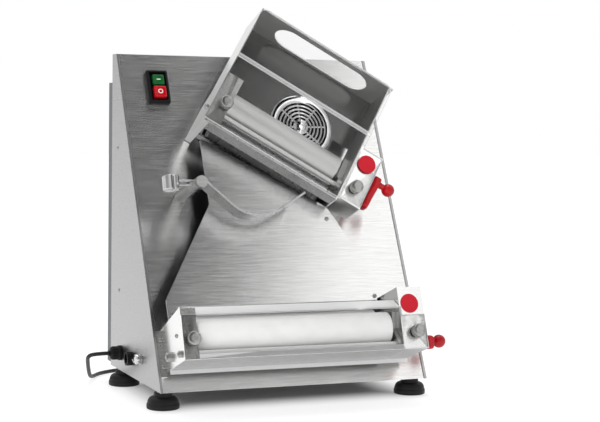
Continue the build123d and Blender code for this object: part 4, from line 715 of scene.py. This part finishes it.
piece("cord_gland_ribbed", [bench.at(lay(turned(gland_profile, steps=84, swell=ribs), "-x", GLAND_PLACE))], "body",
      BLACK, ["cord_gland"])
cap_profile = [(0.0, 0.0), (0.0, 7.6), (0.6, 8.0), (3.0, 8.0), (3.4, 7.3), (4.4, 7.3), (4.8, 8.0), (8.4, 8.0),
               (9.6, 7.2), (10.0, 5.8), (10.0, 0.0)]
step = np.linspace(0.0, 1.0, BEADS)[:, None]
bead_places = CHAIN_FROM + step * (CHAIN_TO - CHAIN_FROM) - 4 * CHAIN_SAG * step * (1 - step) * UP
cap = bench.at(lay(turned(cap_profile, steps=40), "-x", CAP_PLACE))
piece("socket_cap_chained", [cap] + [bench.at(bead(BEAD_RADIUS, place)) for place in bead_places], "body",
      CHROME, ["socket_cap"])


# Small fasteners: hexagon nuts with their stud ends, and button-headed screws

SIXTH = math.pi / 6
NUT_EDGE, NUT_ROWS, NUT_CHAMFER = 0.93, (2, 3), 0.5
STUD_SHARE, STUD_STANDS, STUD_ROUND, STUD_TIP = 0.29, 1.6, 0.6, 0.7
HEAD_TAPER, RECESS_DEPTH, RECESS_RADIUS = 0.52, 0.45, 0.42
LOWER_CHEEK_X, UPPER_CHEEK_X, SIDE_X = -208.0, -138.3, 220.0
FRONT_SCREWS = [(-210.3, 40.0, 2.0), (-210.3, 82.0, 2.0), (-199.0, 108.0, 42.0), (136.0, 126.5, 42.0),
                (77.5, 258.8, 42.0)]
SIDE_SCREWS = [(104.8, 386.3), (91.6, 157.3)]


def nut(flat, height):
    """Six-sided nut about z with chamfered corners, and the rounded end of its stud."""
    def hexagon(row, angle):
        """Radius factor of a hexagon's sides, easing to a circle in the end rows."""
        side = math.cos(SIXTH) / np.cos((angle + SIXTH) % (2 * SIXTH) - SIXTH)
        rows_between = (row >= NUT_ROWS[0]) & (row <= NUT_ROWS[1])
        return np.where(rows_between, side, np.minimum(side, NUT_EDGE) / NUT_EDGE)
    point = flat / 2 / math.cos(SIXTH)
    stud = flat * STUD_SHARE
    end = height + STUD_STANDS
    top = end + STUD_ROUND
    rows = [(0.0, 0.0), (0.0, point * NUT_EDGE), (NUT_CHAMFER, point), (height - NUT_CHAMFER, point),
            (height, point * NUT_EDGE), (height, stud), (end, stud), (top, stud * STUD_TIP), (top, 0.0)]
    return turned(rows, steps=48, swell=hexagon)


def button_head(radius, height):
    """Domed screw head about z with a round recess: an arc of points carried round."""
    t = np.linspace(0.0, 1.0, 6)
    dome = np.stack([height * np.sin(t * QUARTER), radius - radius * HEAD_TAPER * t ** 2], axis=1)
    recess = [(height * RECESS_DEPTH, radius * RECESS_RADIUS), (height * RECESS_DEPTH, 0.0)]
    return turned(np.concatenate([[(0.0, 0.0)], dome, recess]), steps=24)


cheek_nut, cheek_screw = nut(flat=13.0, height=6.0), button_head(radius=3.4, height=2.0)
shaft_nut = nut(flat=9.0, height=4.0)
front_screw, side_screw = button_head(radius=3.6, height=2.2), button_head(radius=3.0, height=1.2)
piece("lower_cheek_fasteners", [lower.at(lay(cheek_nut, "-x", (LOWER_CHEEK_X, -18.5, 4.5))),
                                lower.at(lay(cheek_screw, "-x", (LOWER_CHEEK_X, 5.0, 42.4)))],
      "body", ZINC)
piece("lower_gap_shaft_nut", [lower.at(lay(shaft_nut, "-x", (LOWER_CHEEK_X - 0.3, -24.5, 55.5)))],
      "lower_gap_lever", ZINC)
piece("upper_gap_shaft_nut", [upper.at(lay(shaft_nut, "-x", (UPPER_CHEEK_X, -59.0, 62.0)))],
      "upper_gap_lever", ZINC)
piece("front_screws", [front.at(front_screw + np.array(place)) for place in FRONT_SCREWS], "body",
      ZINC)
piece("side_screws", [bench.at(lay(side_screw, axis, (x, *place)))
                      for axis, x in (("-x", -SIDE_X), ("+x", SIDE_X)) for place in SIDE_SCREWS],
      "body", SIDE)


# Switch: a slim black frame with rounded edges, cushioned buttons, and a bar and a ring as their signs

CORNER_STEPS, CORNER_LEAST = 12, 0.2
FRAME_HALF, FRAME_CORNER, BUTTON_CORNER = (18.0, 29.5), 3.0, 2.0
SWITCH_AT = np.array([-159.0, 508.5, 0.0])
START_AT, STOP_AT = np.array([-158.2, 519.6, 0.0]), np.array([-158.2, 497.2, 0.0])
START_TALL, STOP_TALL = 0.0, 2.0  # how far each button stands above the lower one of the two
SIGN_AT = 11.5                    # height of the lower button's sign
frame_profile = [(0.0, 0.2), (0.0, 7.5), (0.6, 9.0), (1.6, 9.8), (3.6, 10.2), (4.4, 10.0), (4.8, 8.6), (4.8, 1.2)]
button_profile = np.array([(0.0, 6.0), (0.0, 10.6), (0.5, 11.5), (1.4, 12.0), (2.6, 11.9), (5.0, 11.6)])
BUTTONS = [("start", START_AT, GREEN, "green_plastic", START_TALL, (9.4, 8.8)),
           ("stop", STOP_AT, RED, "red_plastic", STOP_TALL, (10.2, 9.8))]


def pad(half_width, half_height, corner, profile):
    """Rounded rectangle about z: one ring for each (inset, height) of the profile, and a point at both ends.

    A ring is four quarter circles whose centres stand in from the corners.
    """
    angle = np.concatenate([np.linspace(0.0, QUARTER, CORNER_STEPS) + i * QUARTER for i in range(4)])
    sign_x = np.repeat([1.0, -1.0, -1.0, 1.0], CORNER_STEPS)
    sign_y = np.repeat([1.0, 1.0, -1.0, -1.0], CORNER_STEPS)
    inset, height = np.asarray(profile, float).T[:, :, None]
    radius = np.maximum(corner - inset, CORNER_LEAST)
    x = sign_x * np.maximum(half_width - inset - radius, 0.0) + radius * np.cos(angle)
    y = sign_y * np.maximum(half_height - inset - radius, 0.0) + radius * np.sin(angle)
    rings = np.stack([x, y, np.broadcast_to(height, x.shape)], axis=-1)
    ends = np.broadcast_to(height[[0, -1], :, None] * UP, (2, len(angle), 3))
    return np.concatenate([ends[:1], rings, ends[1:]])


frame_pad = pad(*FRAME_HALF, FRAME_CORNER, frame_profile)
piece("switch_frame_moulded", [front.at(frame_pad + SWITCH_AT)], "body", BLACK, ["switch_frame"])
for button, place, colour, slot, tall, half in BUTTONS:
    profile = button_profile + np.array([0.0, tall])
    profile[0] = button_profile[0]
    shape = pad(*half, BUTTON_CORNER, profile) + place
    piece(f"{button}_button_moulded", [front.at(shape)], f"{button}_button", colour, [f"{button}_button"])
start_bar = bar((-3.2, 0.0, 0.0), (3.2, 0.0, 0.0), half_width=0.8, height=0.3)
piece("start_sign", [front.at(start_bar + START_AT + (SIGN_AT + START_TALL) * UP)], "start_button",
      SIGN)
stop_ring = hoop(radius=3.4, half_width=0.65, height=0.3, steps=40, section=8)
piece("stop_sign", [front.at(stop_ring + STOP_AT + (SIGN_AT + STOP_TALL) * UP)], "stop_button",
      SIGN)


# Floor, room light and lamps

SMOOTH = {"interpolation_type": "SMOOTHSTEP"}
FLOOR_REACH = 14.0
FEET_REACH = (0.2, 0.115, 0.0)  # half the rectangle that the feet stand in
SHADE_EDGE = 0.05
PAPER_GLOW = 0.72
# the room in front from left to right: x of a direction, and the light there
WALL = [(-1.0, 0.14), (-0.70, 0.18), (-0.45, 0.30), (-0.20, 0.30), (-0.05, 0.10), (0.05, 0.0), (0.372, 0.0),
        (0.385, 0.92), (0.445, 0.92), (0.46, 0.46), (0.60, 0.46), (0.80, 0.20), (1.0, 0.16)]
WALL_STRENGTH = 2.4
BOX_LEAN, BOX_SHIFT = -0.3, 0.207  # how the soft box's near edge leans, and where it stands
CEILING, REFLECTOR, SWEEP = 0.6, 0.9, 0.85


def floor_material():
    """White studio sweep: lit paper that glows all round the machine but not under it, so that a painted shadow
    lies there over its own shade.
    """
    made, tree, shader, place = new_material("studio_paper", {
        "Base Color": linear("#a4a4a4"), "Roughness": 0.6, "Emission Color": grey(1.0)})
    # distance outside the rectangle that the feet stand in
    centred = add(tree, "ShaderNodeVectorMath", {"operation": "SUBTRACT"}, {1: tuple(SHIFT * MM)}, {0: place})
    spread = add(tree, "ShaderNodeVectorMath", {"operation": "ABSOLUTE"}, links={0: centred.outputs["Vector"]})
    beyond = add(tree, "ShaderNodeVectorMath", {"operation": "SUBTRACT"}, {1: FEET_REACH},
                 {0: spread.outputs["Vector"]})
    sides = add(tree, "ShaderNodeSeparateXYZ", links={"Vector": beyond.outputs["Vector"]})
    away = add(tree, "ShaderNodeMath", {"operation": "MAXIMUM"},
               links={0: sides.outputs["X"], 1: sides.outputs["Y"]})
    # painted shadow: the glow fades out over SHADE_EDGE into the rectangle that the feet stand in
    glow = add(tree, "ShaderNodeMapRange", SMOOTH,
               {"From Min": -SHADE_EDGE, "From Max": SHADE_EDGE, "To Min": 0.0, "To Max": PAPER_GLOW},
               {"Value": away.outputs["Value"]})
    tree.links.new(glow.outputs["Result"], shader.inputs["Emission Strength"])
    return made


floor_mesh = bpy.data.meshes.new("floor")
floor_corners = [(x * FLOOR_REACH, y * FLOOR_REACH, 0) for x, y in ((-1, -1), (1, -1), (1, 1), (-1, 1))]
floor_mesh.from_pydata(floor_corners, [], [(0, 1, 2, 3)])
floor = bpy.data.objects.new("floor", floor_mesh)
scene.collection.objects.link(floor)
dress(floor, floor_material())

world = bpy.data.worlds.new("studio")
scene.world = world
world.use_nodes = True
sky = world.node_tree
background = sky.nodes["Background"]
background.inputs["Color"].default_value = grey(1.0)
path = add(sky, "ShaderNodeLightPath")
way = add(sky, "ShaderNodeSeparateXYZ", links={"Vector": add(sky, "ShaderNodeTexCoord").outputs["Generated"]})
# the room in front: a pale wall, a dark gap, and a tall soft box whose near edge leans
lean = add(sky, "ShaderNodeMath", {"operation": "MULTIPLY_ADD"}, {1: BOX_LEAN, 2: BOX_SHIFT},
           {0: way.outputs["Z"]})
aslant = add(sky, "ShaderNodeMath", {"operation": "ADD"}, links={0: way.outputs["X"], 1: lean.outputs["Value"]})
across = add(sky, "ShaderNodeMapRange", sockets={"From Min": -1.0, "From Max": 1.0},
             links={"Value": aslant.outputs["Value"]})
wall = add(sky, "ShaderNodeValToRGB", links={"Fac": across.outputs["Result"]},
           stops=[((x + 1) / 2, grey(level)) for x, level in WALL])
wall_light = add(sky, "ShaderNodeMath", {"operation": "MULTIPLY"}, {1: WALL_STRENGTH}, {0: wall.outputs["Color"]})
# straight overhead a soft ceiling
ceiling = add(sky, "ShaderNodeMapRange", SMOOTH, {"From Min": 0.9, "From Max": 0.98, "To Max": CEILING},
              {"Value": way.outputs["Z"]})
high = add(sky, "ShaderNodeMath", {"operation": "MAXIMUM"},
           links={0: wall_light.outputs["Value"], 1: ceiling.outputs["Result"]})
# low in front a long white reflector, under what the slanted sheets mirror
low = add(sky, "ShaderNodeMapRange", SMOOTH,
          {"From Min": 0.15, "From Max": 0.32, "To Min": REFLECTOR, "To Max": 0.0}, {"Value": way.outputs["Z"]})
ahead = add(sky, "ShaderNodeMath", {"operation": "MAXIMUM"},
            links={0: high.outputs["Value"], 1: low.outputs["Result"]})
# behind the machine a white sweep
behind = add(sky, "ShaderNodeMapRange", SMOOTH, {"From Min": -0.15, "From Max": 0.2}, {"Value": way.outputs["Y"]})
room = add(sky, "ShaderNodeMix", {"data_type": "FLOAT"}, {"B": SWEEP},
           {"Factor": behind.outputs["Result"], "A": ahead.outputs["Value"]})
seen = add(sky, "ShaderNodeMath", {"operation": "MAXIMUM"},
           links={0: path.outputs["Is Camera Ray"], 1: room.outputs["Result"]})
sky.links.new(seen.outputs["Value"], background.inputs["Strength"])


def lamp(name, place, target, size, power):
    """A rectangular soft box aimed at a point."""
    data = bpy.data.lights.new(name, "AREA")
    data.shape = "RECTANGLE"
    data.size, data.size_y = size
    data.energy = power
    made = bpy.data.objects.new(name, data)
    scene.collection.objects.link(made)
    made.location = place
    made.rotation_euler = (Vector(target) - Vector(place)).to_track_quat("-Z", "Y").to_euler()
    return made


lamp("overhead_soft_box", place=(0.0, 0.35, 2.6), target=(0.0, 0.0, 0.2), size=(1.8, 1.6), power=18)
# the nearer soft box is kept out of reflections, so that polished sheet doesn't turn white from other sides
left_box = lamp("left_soft_box", place=(-1.35, -1.7, 0.85), target=(0.0, -0.1, 0.2), size=(1.0, 1.0), power=22)
left_box.visible_glossy = False

scene.view_settings.view_transform = "Standard"
